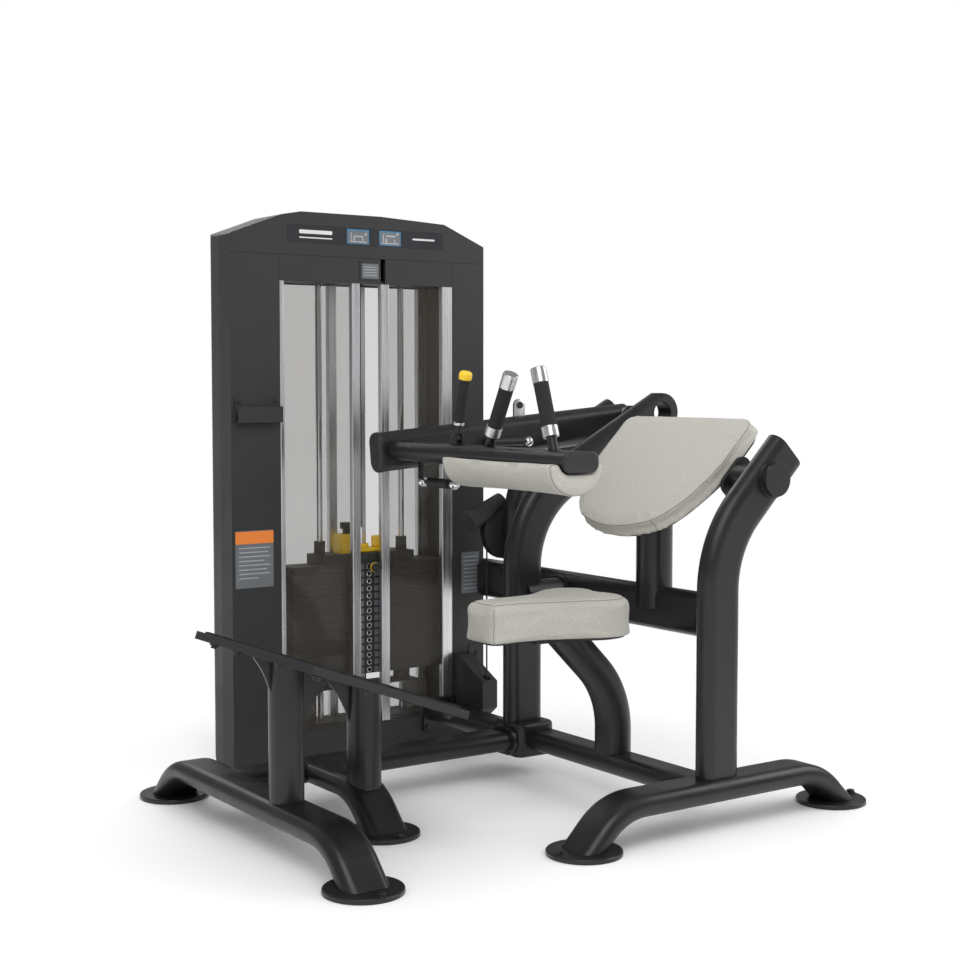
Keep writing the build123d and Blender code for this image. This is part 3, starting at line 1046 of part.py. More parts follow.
# Deck across the head of the tower: holds the guide rods and the top pulleys
DECK_Z0, DECK_T = 1424.0, 6.0
HANGER_T = 4.0
with BuildPart() as pulley_deck:
    add(span(WINDOW_X0, WINDOW_X1, TOWER_Y0 + HEADER_T, TOWER_Y1 - HEADER_T, DECK_Z0, DECK_Z0 + DECK_T))
    add(along_z(STACK_X, STACK_Y, 8, DECK_Z0 - 5, DECK_Z0 + 20), mode=Mode.SUBTRACT)
    for side in (-1, 1):
        add(along_z(STACK_X + side * ROD_SPACING / 2, STACK_Y, ROD_R, DECK_Z0 - 5, DECK_Z0 + 20),
            mode=Mode.SUBTRACT)
HANGER_X0, HANGER_X1 = top_x[1] - 30, WINDOW_X1
with BuildPart() as hangers:
    for y in (STACK_Y - PULLEY_HALF - 3 - HANGER_T, STACK_Y + PULLEY_HALF + 3):
        add(span(HANGER_X0, HANGER_X1, y, y + HANGER_T, DECK_Z0 + DECK_T, CROWN_Z0 + 28))
    for x in top_x:
        add(along_y(x, top_z, AXLE_R, STACK_Y - PULLEY_HALF - 3, STACK_Y + PULLEY_HALF + 3))
finish("pulley_deck", pulley_deck.part, hangers.part)

# Accessory holder on the left column: a shallow tray with two screws
HOLDER_X0, HOLDER_X1, HOLDER_Z0, HOLDER_Z1 = -452.0, -310.0, 1010.0, 1084.0
with BuildPart() as accessory_holder:
    add(span(HOLDER_X0, HOLDER_X1, TOWER_Y0 - 3, TOWER_Y0, HOLDER_Z0, HOLDER_Z1))
    add(span(HOLDER_X0, HOLDER_X1, TOWER_Y0 - 26, TOWER_Y0, HOLDER_Z0, HOLDER_Z0 + 3))
    add(span(HOLDER_X0, HOLDER_X1, TOWER_Y0 - 26, TOWER_Y0 - 23, HOLDER_Z0, HOLDER_Z0 + 46))
with BuildPart() as holder_screws:
    for x in (HOLDER_X0 + 12, HOLDER_X1 - 12):
        add(along_y(x, HOLDER_Z1 - 12, 5, TOWER_Y0 - 7, TOWER_Y0 - 3))
finish("accessory_holder", accessory_holder.part, holder_screws.part)

# ================================================================ weight stack
rod_xs = (STACK_X - ROD_SPACING / 2, STACK_X + ROD_SPACING / 2)
finish("guide_rods", *[along_z(x, STACK_Y, ROD_R, BASE_Z1, DECK_Z0 + DECK_T) for x in rod_xs])

SELECTOR_R = SELECTOR_W / 2
BUMPER_H, STAND_Z1 = 36.0, STACK_Z0 - 36.0
with BuildPart() as stack_stand:
    add(span(rod_xs[0] - 40, rod_xs[1] + 40, STACK_Y - 40, STACK_Y + 40, BASE_Z1, STAND_Z1))
    add(span(rod_xs[0] - 36, rod_xs[1] + 36, STACK_Y - 45, STACK_Y + 45, BASE_Z1 + 4, STAND_Z1 - 4),
        mode=Mode.SUBTRACT)
    for x in rod_xs:
        add(along_z(x, STACK_Y, ROD_R, BASE_Z1 - 5, STAND_Z1 + 5), mode=Mode.SUBTRACT)
with BuildPart() as rod_bumpers:
    for x in rod_xs:
        add(along_z(x, STACK_Y, 26, STAND_Z1, STACK_Z0))
        add(along_z(x, STACK_Y, ROD_R, STAND_Z1, STACK_Z0), mode=Mode.SUBTRACT)
finish("stack_stand", stack_stand.part, rod_bumpers.part)


def weight_plate(z0, width, thickness, pin_hole=True):
    """One plate with its rod holes, selector hole and pin hole."""
    with BuildPart() as plate:
        with BuildSketch(Plane.XY.offset(z0)):
            with Locations((STACK_X, STACK_Y)):
                RectangleRounded(width, STACK_D, 6)
                Circle(SELECTOR_R + ROD_HOLE_GAP, mode=Mode.SUBTRACT)
            with Locations(*[(x, STACK_Y) for x in rod_xs]):
                Circle(ROD_R + ROD_HOLE_GAP, mode=Mode.SUBTRACT)
        extrude(amount=thickness)
        chamfer(plate.edges().group_by(Axis.Z)[-1].sort_by(Axis.Y)[0], 1.5)
        if pin_hole:
            add(along_y(STACK_X, z0 + thickness / 2, PIN_HOLE_R, STACK_Y - STACK_D, STACK_Y), mode=Mode.SUBTRACT)
    return plate.part


finish("stack_plates", *[weight_plate(STACK_Z0 + i * WEIGHT_PITCH, STACK_W, WEIGHT_T)
                         for i in range(WEIGHT_COUNT - 1)])
picked_z = STACK_Z0 + (WEIGHT_COUNT - 1) * WEIGHT_PITCH
finish("picked_weight", weight_plate(picked_z, STACK_W, WEIGHT_T))
TOP_Z0 = picked_z + WEIGHT_T
TOP_W, TOP_T = 330.0, 30.0
BUSHING_R, BUSHING_H = 17.0, 40.0
with BuildPart() as top_plate:
    with BuildSketch(Plane.XY.offset(TOP_Z0)):
        with Locations((STACK_X, STACK_Y)):
            RectangleRounded(TOP_W, STACK_D, 6)
    extrude(amount=TOP_T)
    for x in rod_xs:
        add(along_z(x, STACK_Y, BUSHING_R, TOP_Z0, TOP_Z0 + TOP_T + BUSHING_H))
        add(along_z(x, STACK_Y, ROD_R + RUN_FIT, TOP_Z0 - 5, TOP_Z0 + 100), mode=Mode.SUBTRACT)
    add(along_z(STACK_X, STACK_Y, SELECTOR_R, TOP_Z0 - 5, TOP_Z0 + 100), mode=Mode.SUBTRACT)
finish("top_plate", top_plate.part)

# Selector bar through the stack, with a hole at every plate and the cable's end fitting
SELECTOR_TOP = TOP_Z0 + TOP_T + 30
FITTING_TOP = SELECTOR_TOP + 46
with BuildPart() as selector_bar:
    add(along_z(STACK_X, STACK_Y, SELECTOR_R, STACK_Z0 - 20, SELECTOR_TOP))
    add(along_z(STACK_X, STACK_Y, 9, SELECTOR_TOP, FITTING_TOP))
    for i in range(WEIGHT_COUNT):
        hole_z = STACK_Z0 + i * WEIGHT_PITCH + WEIGHT_T / 2
        add(along_y(STACK_X, hole_z, PIN_HOLE_R, STACK_Y - 40, STACK_Y + 8), mode=Mode.SUBTRACT)
finish("selector_bar", selector_bar.part)

# Yellow increment weight block on the top plate, with its black dial
with BuildPart() as increment_block:
    add(span(STACK_X - 84, STACK_X - 18, STACK_Y - 30, STACK_Y + 30, TOP_Z0 + TOP_T, TOP_Z0 + TOP_T + 58))
    fillet(increment_block.edges().filter_by(Axis.Z), 10)
    fillet(increment_block.edges().group_by(Axis.Z)[-1], 5)
finish("increment_block", increment_block.part)
dial_z = TOP_Z0 + TOP_T + 58
with BuildPart() as increment_dial:
    add(along_z(STACK_X - 51, STACK_Y, 12, dial_z + 0.3, dial_z + 16))
    add(along_z(STACK_X - 51, STACK_Y, 20, dial_z + 16, dial_z + 34))
    add(span(STACK_X - 51, STACK_X - 25, STACK_Y - 5, STACK_Y + 5, dial_z + 20, dial_z + 34))
finish("increment_dial", increment_dial.part)

# Selector pin with its knob, pushed in through the slot between the middle posts
pin_z = picked_z + WEIGHT_T / 2
KNOB_Y0 = TOWER_Y0 - 14
with BuildPart() as selector_pin:
    add(along_y(STACK_X, pin_z, PIN_HOLE_R - 0.5, KNOB_Y0 + 20, STACK_Y + 6))
    add(along_y(STACK_X, pin_z, 8, KNOB_Y0 + 20, STACK_Y - STACK_D / 2 - 2))
    add(along_y(STACK_X, pin_z, 14, KNOB_Y0, KNOB_Y0 + 22))
    fillet(selector_pin.edges().group_by(Axis.Y)[0], 4)
finish("selector_pin", selector_pin.part)

# Lifting cable from the inner top pulley down to the selector bar
finish("stack_cable", along_z(STACK_X, STACK_Y, CABLE_R, FITTING_TOP, top_z - 10))
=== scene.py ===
"""Looks of the hip thrust machine: finishes, upholstery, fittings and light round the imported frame."""

import json
import logging
from dataclasses import dataclass
from enum import Enum
from math import cos, pi, radians, sin, tau
from typing import Iterable, Sequence

import bpy
import numpy as np
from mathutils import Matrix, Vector
from mathutils.bvhtree import BVHTree


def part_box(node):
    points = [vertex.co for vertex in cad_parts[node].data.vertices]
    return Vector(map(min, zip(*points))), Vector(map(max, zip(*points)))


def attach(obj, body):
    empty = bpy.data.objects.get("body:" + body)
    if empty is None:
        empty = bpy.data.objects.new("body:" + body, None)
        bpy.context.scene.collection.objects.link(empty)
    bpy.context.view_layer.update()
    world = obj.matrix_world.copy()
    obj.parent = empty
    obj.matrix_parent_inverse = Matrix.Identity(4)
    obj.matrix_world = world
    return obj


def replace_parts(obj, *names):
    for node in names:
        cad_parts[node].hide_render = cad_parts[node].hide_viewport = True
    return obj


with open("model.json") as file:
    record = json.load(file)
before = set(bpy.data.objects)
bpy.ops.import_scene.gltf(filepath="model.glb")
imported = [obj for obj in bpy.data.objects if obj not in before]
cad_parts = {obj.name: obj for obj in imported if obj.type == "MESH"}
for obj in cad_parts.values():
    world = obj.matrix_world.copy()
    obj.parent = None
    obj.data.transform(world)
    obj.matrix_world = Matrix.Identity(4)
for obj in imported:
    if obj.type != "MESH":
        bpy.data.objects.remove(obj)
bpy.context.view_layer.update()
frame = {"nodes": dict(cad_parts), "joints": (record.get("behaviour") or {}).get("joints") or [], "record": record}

LOG = logging.getLogger("hip_thrust_machine")
Colour = tuple[float, float, float]
UP = np.array((0.0, 0.0, 1.0))
TINY = 1e-9
SAME_PLACE = 1e-5
ODD_WAY = np.array((0.31, 0.17, 0.93))


class Slot(Enum):
    """The record's material slots."""

    FRAME = "frame_black"
    TOWER = "tower_charcoal"
    IRON = "cast_iron"
    RUBBER = "rubber"
    PLASTIC = "black_plastic"
    FOAM = "foam_grip"
    SILVER = "silver"
    STEEL = "bright_steel"
    CABLE = "cable_black"
    UPHOLSTERY = "upholstery"
    YELLOW = "yellow"
    CLEAR = "smoked_clear"
    PANEL = "panel_black"


# ---------------------------------------------------------------- shapes


def unit(vector: Iterable[float]) -> np.ndarray:
    """The vector divided by its length."""
    array = np.asarray(vector, float)
    return array / np.linalg.norm(array)


def lengths(rows: np.ndarray) -> np.ndarray:
    """Length of each row."""
    return np.linalg.norm(rows, axis=1)


def unit_rows(rows: np.ndarray) -> np.ndarray:
    """Each row divided by its length, and nothing where it has none."""
    return rows / np.maximum(lengths(rows), TINY)[:, None]


def run_of(points: np.ndarray) -> np.ndarray:
    """How far along a line each of its points lies: the running sum of its steps."""
    return np.concatenate(([0], np.cumsum(lengths(np.diff(points, axis=0)))))


def read_off(at: np.ndarray, along: np.ndarray, rows: np.ndarray) -> np.ndarray:
    """Rows at some distances along a line, in proportion between those that are known."""
    return np.stack([np.interp(at, along, column) for column in rows.T], 1)


@dataclass(frozen=True)
class Axes:
    """A right-handed set of axes somewhere in the row frame."""

    origin: np.ndarray
    x: np.ndarray
    y: np.ndarray
    z: np.ndarray

    @classmethod
    def along(cls, origin: Iterable[float], z: Iterable[float], x: Iterable[float] = (1, 0, 0)) -> "Axes":
        """Axes with z as given and x as near as it can be to the one given.

        Args:
            origin: where the axes start.
            z: the main direction.
            x: a direction that isn't parallel to z.

        Returns:
            The axes.
        """
        main = unit(z)
        side = unit(np.cross(main, np.asarray(x, float)))
        return cls(np.asarray(origin, float), np.cross(side, main), side, main)

    def place(self, points: np.ndarray) -> np.ndarray:
        """Local points in the row frame: origin plus each coordinate times its axis."""
        return self.origin + points @ np.stack((self.x, self.y, self.z))

    def local(self, points: np.ndarray) -> np.ndarray:
        """Row-frame points in these axes: the dot product with each axis."""
        return (points - self.origin) @ np.stack((self.x, self.y, self.z)).T


@dataclass
class Shape:
    """Points and faces, each block of faces an array with one row a face."""

    points: np.ndarray
    faces: list[np.ndarray]

    def __add__(self, other: "Shape") -> "Shape":
        """Both shapes as one, still apart."""
        shift = len(self.points)
        return Shape(np.vstack((self.points, other.points)), self.faces + [f + shift for f in other.faces])

    def placed(self, axes: Axes) -> "Shape":
        """The shape carried from its own axes to the row frame."""
        return Shape(axes.place(self.points), self.faces)

    def repeated(self, places: Sequence[Axes]) -> "Shape":
        """A copy of the shape at every place: each place's axes times the same points.

        Args:
            places: the axes of each copy.

        Returns:
            All copies as one shape.
        """
        basis = np.array([(p.x, p.y, p.z) for p in places])
        origins = np.array([p.origin for p in places])
        points = origins[:, None, :] + np.einsum("pi,nij->npj", self.points, basis)
        shifts = np.arange(len(places))[:, None, None] * len(self.points)
        faces = [(f[None] + shifts).reshape(-1, f.shape[1]) for f in self.faces]
        return Shape(points.reshape(-1, 3), faces)


def total(shapes: Iterable[Shape]) -> Shape:
    """All shapes as one."""
    first, *rest = shapes
    for shape in rest:
        first = first + shape
    return first


def loft(rings: np.ndarray, capped: bool = True, closed: bool = False) -> Shape:
    """Skin through rings: point j of ring i joins point j of ring i + 1 and its neighbour round the ring.

    Args:
        rings: an array of rings by points by 3, each ring running the same way.
        capped: whether the first and last rings are filled.
        closed: whether the last ring joins the first, as on a torus.

    Returns:
        The skin, facing outwards where rings run clockwise seen from ahead.
    """
    count, around = rings.shape[:2]
    i = np.arange(count if closed else count - 1)[:, None]
    j = np.arange(around)[None, :]
    here, ahead = i * around, (i + 1) % count * around
    beside = (j + 1) % around
    quads = np.stack((here + j, here + beside, ahead + beside, ahead + j), -1).reshape(-1, 4)
    faces = [quads]
    if capped and not closed:
        faces += [np.arange(around)[None, ::-1], (count - 1) * around + np.arange(around)[None, :]]
    return Shape(rings.reshape(-1, 3), faces)


def turned(profile: Sequence[tuple[float, float]], segments: int = 40, closed: bool = False) -> Shape:
    """Solid of revolution: at angle a, a profile point (r, h) lies at (r cos a, r sin a, h).

    Args:
        profile: radius and height of each point, from the foot up the outside.
        segments: steps round the axis.
        closed: whether the profile is a loop, as on a ring.

    Returns:
        The turned shape about local z.
    """
    angles = np.linspace(0, tau, segments, endpoint=False)
    radius, height = np.array(profile, float).T
    rings = np.stack((radius[:, None] * np.cos(angles), radius[:, None] * np.sin(angles),
                      np.repeat(height[:, None], segments, 1)), -1)
    return loft(rings, closed=closed)


def eased(points: Sequence[tuple[float, float]], radius: float, steps: int = 4) -> list[tuple[float, float]]:
    """A profile with its inner corners rounded by short quadratic curves.

    Args:
        points: the corners of an open profile.
        radius: how far from each corner its curve starts, at most.
        steps: points on each curve.

    Returns:
        The profile with its corners eased.
    """
    out = [points[0]]
    for before, corner, after in zip(points, points[1:], points[2:]):
        a, b, c = (np.array(p, float) for p in (before, corner, after))
        start, end = (b + (far - b) * min(0.45, radius / max(np.linalg.norm(far - b), TINY))
                      for far in (a, c))
        for t in np.linspace(0, 1, steps):
            out.append(tuple((1 - t) ** 2 * start + 2 * t * (1 - t) * b + t ** 2 * end))
    return out + [points[-1]]


def outline_normals(outline: np.ndarray) -> np.ndarray:
    """Outward unit normals of a closed counter-clockwise outline: the chord between neighbours, turned."""
    chord = np.roll(outline, -1, 0) - np.roll(outline, 1, 0)
    normal = np.stack((chord[:, 1], -chord[:, 0]), 1)
    return unit_rows(normal)


def slab(outline: np.ndarray, low: float, high: float, edge: float, steps: int = 4) -> Shape:
    """Plate in an outline, both rims rounded: ring k is inset by edge (1 - sin a) at edge (1 - cos a) in.

    Args:
        outline: closed counter-clockwise points in local x and y.
        low: height of the lower face.
        high: height of the upper face.
        edge: radius of both rims.
        steps: rings on each rim.

    Returns:
        The plate.
    """
    normal = outline_normals(outline)
    turn = np.linspace(0, pi / 2, steps)
    inset = np.concatenate((edge * (1 - np.sin(turn)), edge * (1 - np.sin(turn[::-1]))))
    height = np.concatenate((low + edge * (1 - np.cos(turn)), high - edge * (1 - np.cos(turn[::-1]))))
    flat = outline[None] - normal[None] * inset[:, None, None]
    rings = np.concatenate((flat, np.broadcast_to(height[:, None, None], flat.shape[:2] + (1,))), -1)
    return loft(rings)


def rounded_rectangle(width: float, depth: float, radius: float, corner: int = 6) -> np.ndarray:
    """Closed outline of a rectangle whose corners are quarter circles."""
    turn = np.linspace(0, pi / 2, corner)
    arcs = []
    for quarter, (sx, sy) in enumerate(((1, 1), (-1, 1), (-1, -1), (1, -1))):
        centre = np.array((sx * (width / 2 - radius), sy * (depth / 2 - radius)))
        angle = turn + quarter * pi / 2
        arcs.append(centre + radius * np.stack((np.cos(angle), np.sin(angle)), 1))
    return np.vstack(arcs)


def circle(radius: float, segments: int = 32) -> np.ndarray:
    """Closed outline of a circle."""
    angle = np.linspace(0, tau, segments, endpoint=False)
    return radius * np.stack((np.cos(angle), np.sin(angle)), 1)


def resampled(outline: np.ndarray, count: int) -> np.ndarray:
    """A closed outline as evenly spaced points: its length divided by count, read off each side."""
    loop = np.vstack((outline, outline[:1]))
    along = run_of(loop)
    return read_off(np.linspace(0, along[-1], count, endpoint=False), along, loop)


def bezier(a: Iterable[float], b: Iterable[float], c: Iterable[float], d: Iterable[float],
           count: int) -> np.ndarray:
    """Cubic curve from a to d, pulled towards b and c, without its last point."""
    t = np.linspace(0, 1, count, endpoint=False)[:, None]
    a, b, c, d = (np.asarray(p, float) for p in (a, b, c, d))
    return (1 - t) ** 3 * a + 3 * t * (1 - t) ** 2 * b + 3 * t ** 2 * (1 - t) * c + t ** 3 * d


def carried(path: np.ndarray, radius: float, around: int = 8) -> Shape:
    """Round bar along a path: at each point, a circle across the path's direction there.

    Args:
        path: points of the centre line; one that repeats the last is left out.
        radius: the bar's radius.
        around: points on each circle.

    Returns:
        The bar with its ends filled.
    """
    path = path[np.concatenate(([True], lengths(np.diff(path, axis=0)) > SAME_PLACE))]
    ahead = unit_rows(np.gradient(path, axis=0))
    side = unit_rows(np.cross(ahead, ODD_WAY))
    over = np.cross(ahead, side)
    angle = np.linspace(0, tau, around, endpoint=False)
    rings = (path[:, None] + radius * np.cos(angle)[None, :, None] * side[:, None]
             + radius * np.sin(angle)[None, :, None] * over[:, None])
    return loft(rings)


def hex_bolt(size: float) -> Shape:
    """Washer and hexagon head in one, on local z: three turned rings and a six-sided prism."""
    washer = turned([(size * r, size * h) for r, h in
                     ((0.2, 0), (1.0, 0), (1.08, 0.06), (1.0, 0.14), (0.2, 0.14))], 24)
    head = slab(resampled(circle(size * 0.86, 6), 24), size * 0.12, size * 0.72, size * 0.07, 3)
    return washer + head


def button_screw(radius: float, height: float) -> Shape:
    """Domed screw head with a socket: a turned dome whose middle drops into a round hole."""
    rim = [(radius * 0.3, 0), (radius, 0), (radius, height * 0.35), (radius * 0.86, height * 0.75),
           (radius * 0.6, height), (radius * 0.42, height), (radius * 0.4, height * 0.5),
           (0.0001, height * 0.5)]
    return turned(rim, 24)


class Piece:
    """Turns shapes into pieces that ride on a body and have a finish."""

    @staticmethod
    def make(name: str, shape: Shape, finish: bpy.types.Material, body: str, slot: Slot,
             sharp: float = 35.0) -> bpy.types.Object:
        """Make one piece.

        Args:
            name: the piece's name.
            shape: its shape in the row frame.
            finish: its material.
            body: the CAD body it moves with.
            slot: the record's slot of its finish; not used.
            sharp: edges steeper than this many degrees stay crisp.

        Returns:
            The object.
        """
        mesh = bpy.data.meshes.new(name)
        mesh.from_pydata(shape.points.tolist(), [], [row for block in shape.faces for row in block.tolist()])
        mesh.validate()
        mesh.shade_smooth()
        mesh.set_sharp_from_angle(angle=radians(sharp))
        mesh.materials.append(finish)
        piece = bpy.data.objects.new(name, mesh)
        bpy.context.scene.collection.objects.link(piece)
        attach(piece, body)
        LOG.info("%s: %d points on %s", name, len(mesh.vertices), body)
        return piece


# ---------------------------------------------------------------- finishes


class Graph:
    """A short way to add shader nodes to a tree and join them."""

    def __init__(self, tree: bpy.types.NodeTree) -> None:
        """Keep the tree."""
        self.tree = tree

    def add(self, kind: str, inputs: dict[str | int, object] | None = None,
            **settings: object) -> bpy.types.Node:
        """Add a node.

        Args:
            kind: the node's type name.
            inputs: socket name or number to a plain value or another node's output.
            settings: the node's own properties.

        Returns:
            The node.
        """
        node = self.tree.nodes.new(kind)
        for key, value in settings.items():
            setattr(node, key, value)
        for key, value in (inputs or {}).items():
            if isinstance(value, bpy.types.NodeSocket):
                self.tree.links.new(value, node.inputs[key])
            else:
                node.inputs[key].default_value = value
        return node

    def feed(self, node: bpy.types.Node, **values: bpy.types.NodeSocket) -> None:
        """Join outputs to a node's inputs by their names."""
        for name, value in values.items():
            self.tree.links.new(value, node.inputs[name])

    def noise(self, scale: object, detail: float, **inputs: object) -> bpy.types.NodeSocket:
        """Noise over the Object coordinates, by its scale and octaves."""
        place = self.add("ShaderNodeTexCoord")
        return self.add("ShaderNodeTexNoise", {"Vector": place.outputs["Object"], "Scale": scale,
                                               "Detail": detail, **inputs}).outputs[0]

    def times(self, a: bpy.types.NodeSocket, b: bpy.types.NodeSocket) -> bpy.types.NodeSocket:
        """Product of two values."""
        return self.add("ShaderNodeMath", {0: a, 1: b}, operation="MULTIPLY").outputs[0]

    def ramp(self, value: bpy.types.NodeSocket, low: float, high: float, a: float = 0.0,
             b: float = 1.0) -> bpy.types.NodeSocket:
        """Value from low to high mapped smoothly to a to b."""
        node = self.add("ShaderNodeMapRange", {0: value, 1: low, 2: high, 3: a, 4: b},
                        interpolation_type="SMOOTHSTEP")
        return node.outputs[0]

    def mix(self, share: bpy.types.NodeSocket | float, a: object, b: object) -> bpy.types.NodeSocket:
        """Colour between a and b."""
        node = self.add("ShaderNodeMix", {0: share, 6: a, 7: b}, data_type="RGBA")
        return node.outputs[2]


def rgba(colour: Colour, gain: float = 1.0) -> tuple[float, float, float, float]:
    """A colour with full alpha, made lighter or darker by gain."""
    return tuple(min(1.0, c * gain) for c in colour) + (1.0,)


class EffectGroups:
    """Shader node groups that several finishes share."""

    def __init__(self) -> None:
        """Build each group once."""
        self.wear = self._edge_wear()
        self.grain = self._grain()
        self.dust = self._dust()
        self.hide = self._hide()

    @staticmethod
    def _tree(name: str, inputs: Sequence[tuple[str, float]],
              outputs: Sequence[tuple[str, str]]) -> tuple[Graph, bpy.types.Node, bpy.types.Node]:
        """Start a group with its sockets: its graph, its input node and its output node."""
        tree = bpy.data.node_groups.new(name, "ShaderNodeTree")
        for label, default in inputs:
            socket = tree.interface.new_socket(name=label, in_out="INPUT", socket_type="NodeSocketFloat")
            socket.default_value = default
        for label, kind in outputs:
            tree.interface.new_socket(name=label, in_out="OUTPUT", socket_type=kind)
        graph = Graph(tree)
        return graph, graph.add("NodeGroupInput"), graph.add("NodeGroupOutput")

    def _edge_wear(self) -> bpy.types.NodeTree:
        """Mask that is 1 on rubbed edges: where a rounded normal leaves the true one, broken up by noise."""
        g, given, out = self._tree("edge_wear", [("Radius", 0.0015), ("Amount", 0.5)],
                                   [("Mask", "NodeSocketFloat"), ("Normal", "NodeSocketVector")])
        bevel = g.add("ShaderNodeBevel", {"Radius": given.outputs["Radius"]}, samples=4)
        shape = g.add("ShaderNodeNewGeometry")
        dot = g.add("ShaderNodeVectorMath", {0: bevel.outputs[0], 1: shape.outputs["Normal"]},
                    operation="DOT_PRODUCT")
        patchy = g.times(g.ramp(dot.outputs["Value"], 0.97, 0.86), g.ramp(g.noise(90.0, 3.0), 0.42, 0.62))
        g.feed(out, Mask=g.times(patchy, given.outputs["Amount"]), Normal=bevel.outputs[0])
        return g.tree

    def _grain(self) -> bpy.types.NodeTree:
        """Fine powder grain: two octaves of noise as a height, and a slower one as a cloudy mask."""
        g, given, out = self._tree("powder_grain", [("Scale", 900.0), ("Cloud", 7.0)],
                                   [("Height", "NodeSocketFloat"), ("Mask", "NodeSocketFloat")])
        fine = g.noise(given.outputs["Scale"], 2.0, Roughness=0.6)
        g.feed(out, Height=fine, Mask=g.ramp(g.noise(given.outputs["Cloud"], 4.0), 0.3, 0.7))
        return g.tree

    def _dust(self) -> bpy.types.NodeTree:
        """Thin dust: more where a face looks up, patchy by noise."""
        g, given, out = self._tree("dust", [("Amount", 0.15)], [("Mask", "NodeSocketFloat")])
        shape = g.add("ShaderNodeNewGeometry")
        split = g.add("ShaderNodeSeparateXYZ", {0: shape.outputs["Normal"]})
        patchy = g.times(g.ramp(split.outputs[2], 0.2, 1.0), g.ramp(g.noise(14.0, 5.0), 0.35, 0.75))
        g.feed(out, Mask=g.times(patchy, given.outputs["Amount"]))
        return g.tree

    def _hide(self) -> bpy.types.NodeTree:
        """Leather grain: pebbles from distances to cell edges, with pores and slow stretch marks."""
        g, given, out = self._tree("hide_grain", [("Scale", 420.0)],
                                   [("Height", "NodeSocketFloat"), ("Mask", "NodeSocketFloat")])
        place = g.add("ShaderNodeTexCoord")
        warp = g.add("ShaderNodeTexNoise", {"Vector": place.outputs["Object"], "Scale": 60.0, "Detail": 2.0})
        moved = g.add("ShaderNodeVectorMath", {0: warp.outputs["Color"], 1: (0.004, 0.004, 0.004),
                                               2: place.outputs["Object"]}, operation="MULTIPLY_ADD")
        cells = g.add("ShaderNodeTexVoronoi", {"Vector": moved.outputs[0], "Scale": given.outputs["Scale"]},
                      feature="DISTANCE_TO_EDGE")
        pebble = g.ramp(cells.outputs["Distance"], 0.0, 0.16)
        height = g.add("ShaderNodeMath", {0: g.noise(1500.0, 2.0), 1: 0.35, 2: pebble},
                       operation="MULTIPLY_ADD")
        g.feed(out, Height=height.outputs[0], Mask=g.ramp(g.noise(260.0, 3.0), 0.3, 0.7))
        return g.tree


class Sheen(Enum):
    """How a finish's surface is built up."""

    PAINT = "paint"
    METAL = "metal"
    HIDE = "hide"
    MOULDED = "moulded"
    SHEET = "sheet"
    ROPE = "rope"


DUST_COLOUR = (0.42, 0.40, 0.37, 1.0)
COAT_ROUGHNESS = 0.12
HIDE_SHEEN = {"Sheen Weight": 0.12, "Sheen Roughness": 0.5}
FLECK_GAIN = 2.6


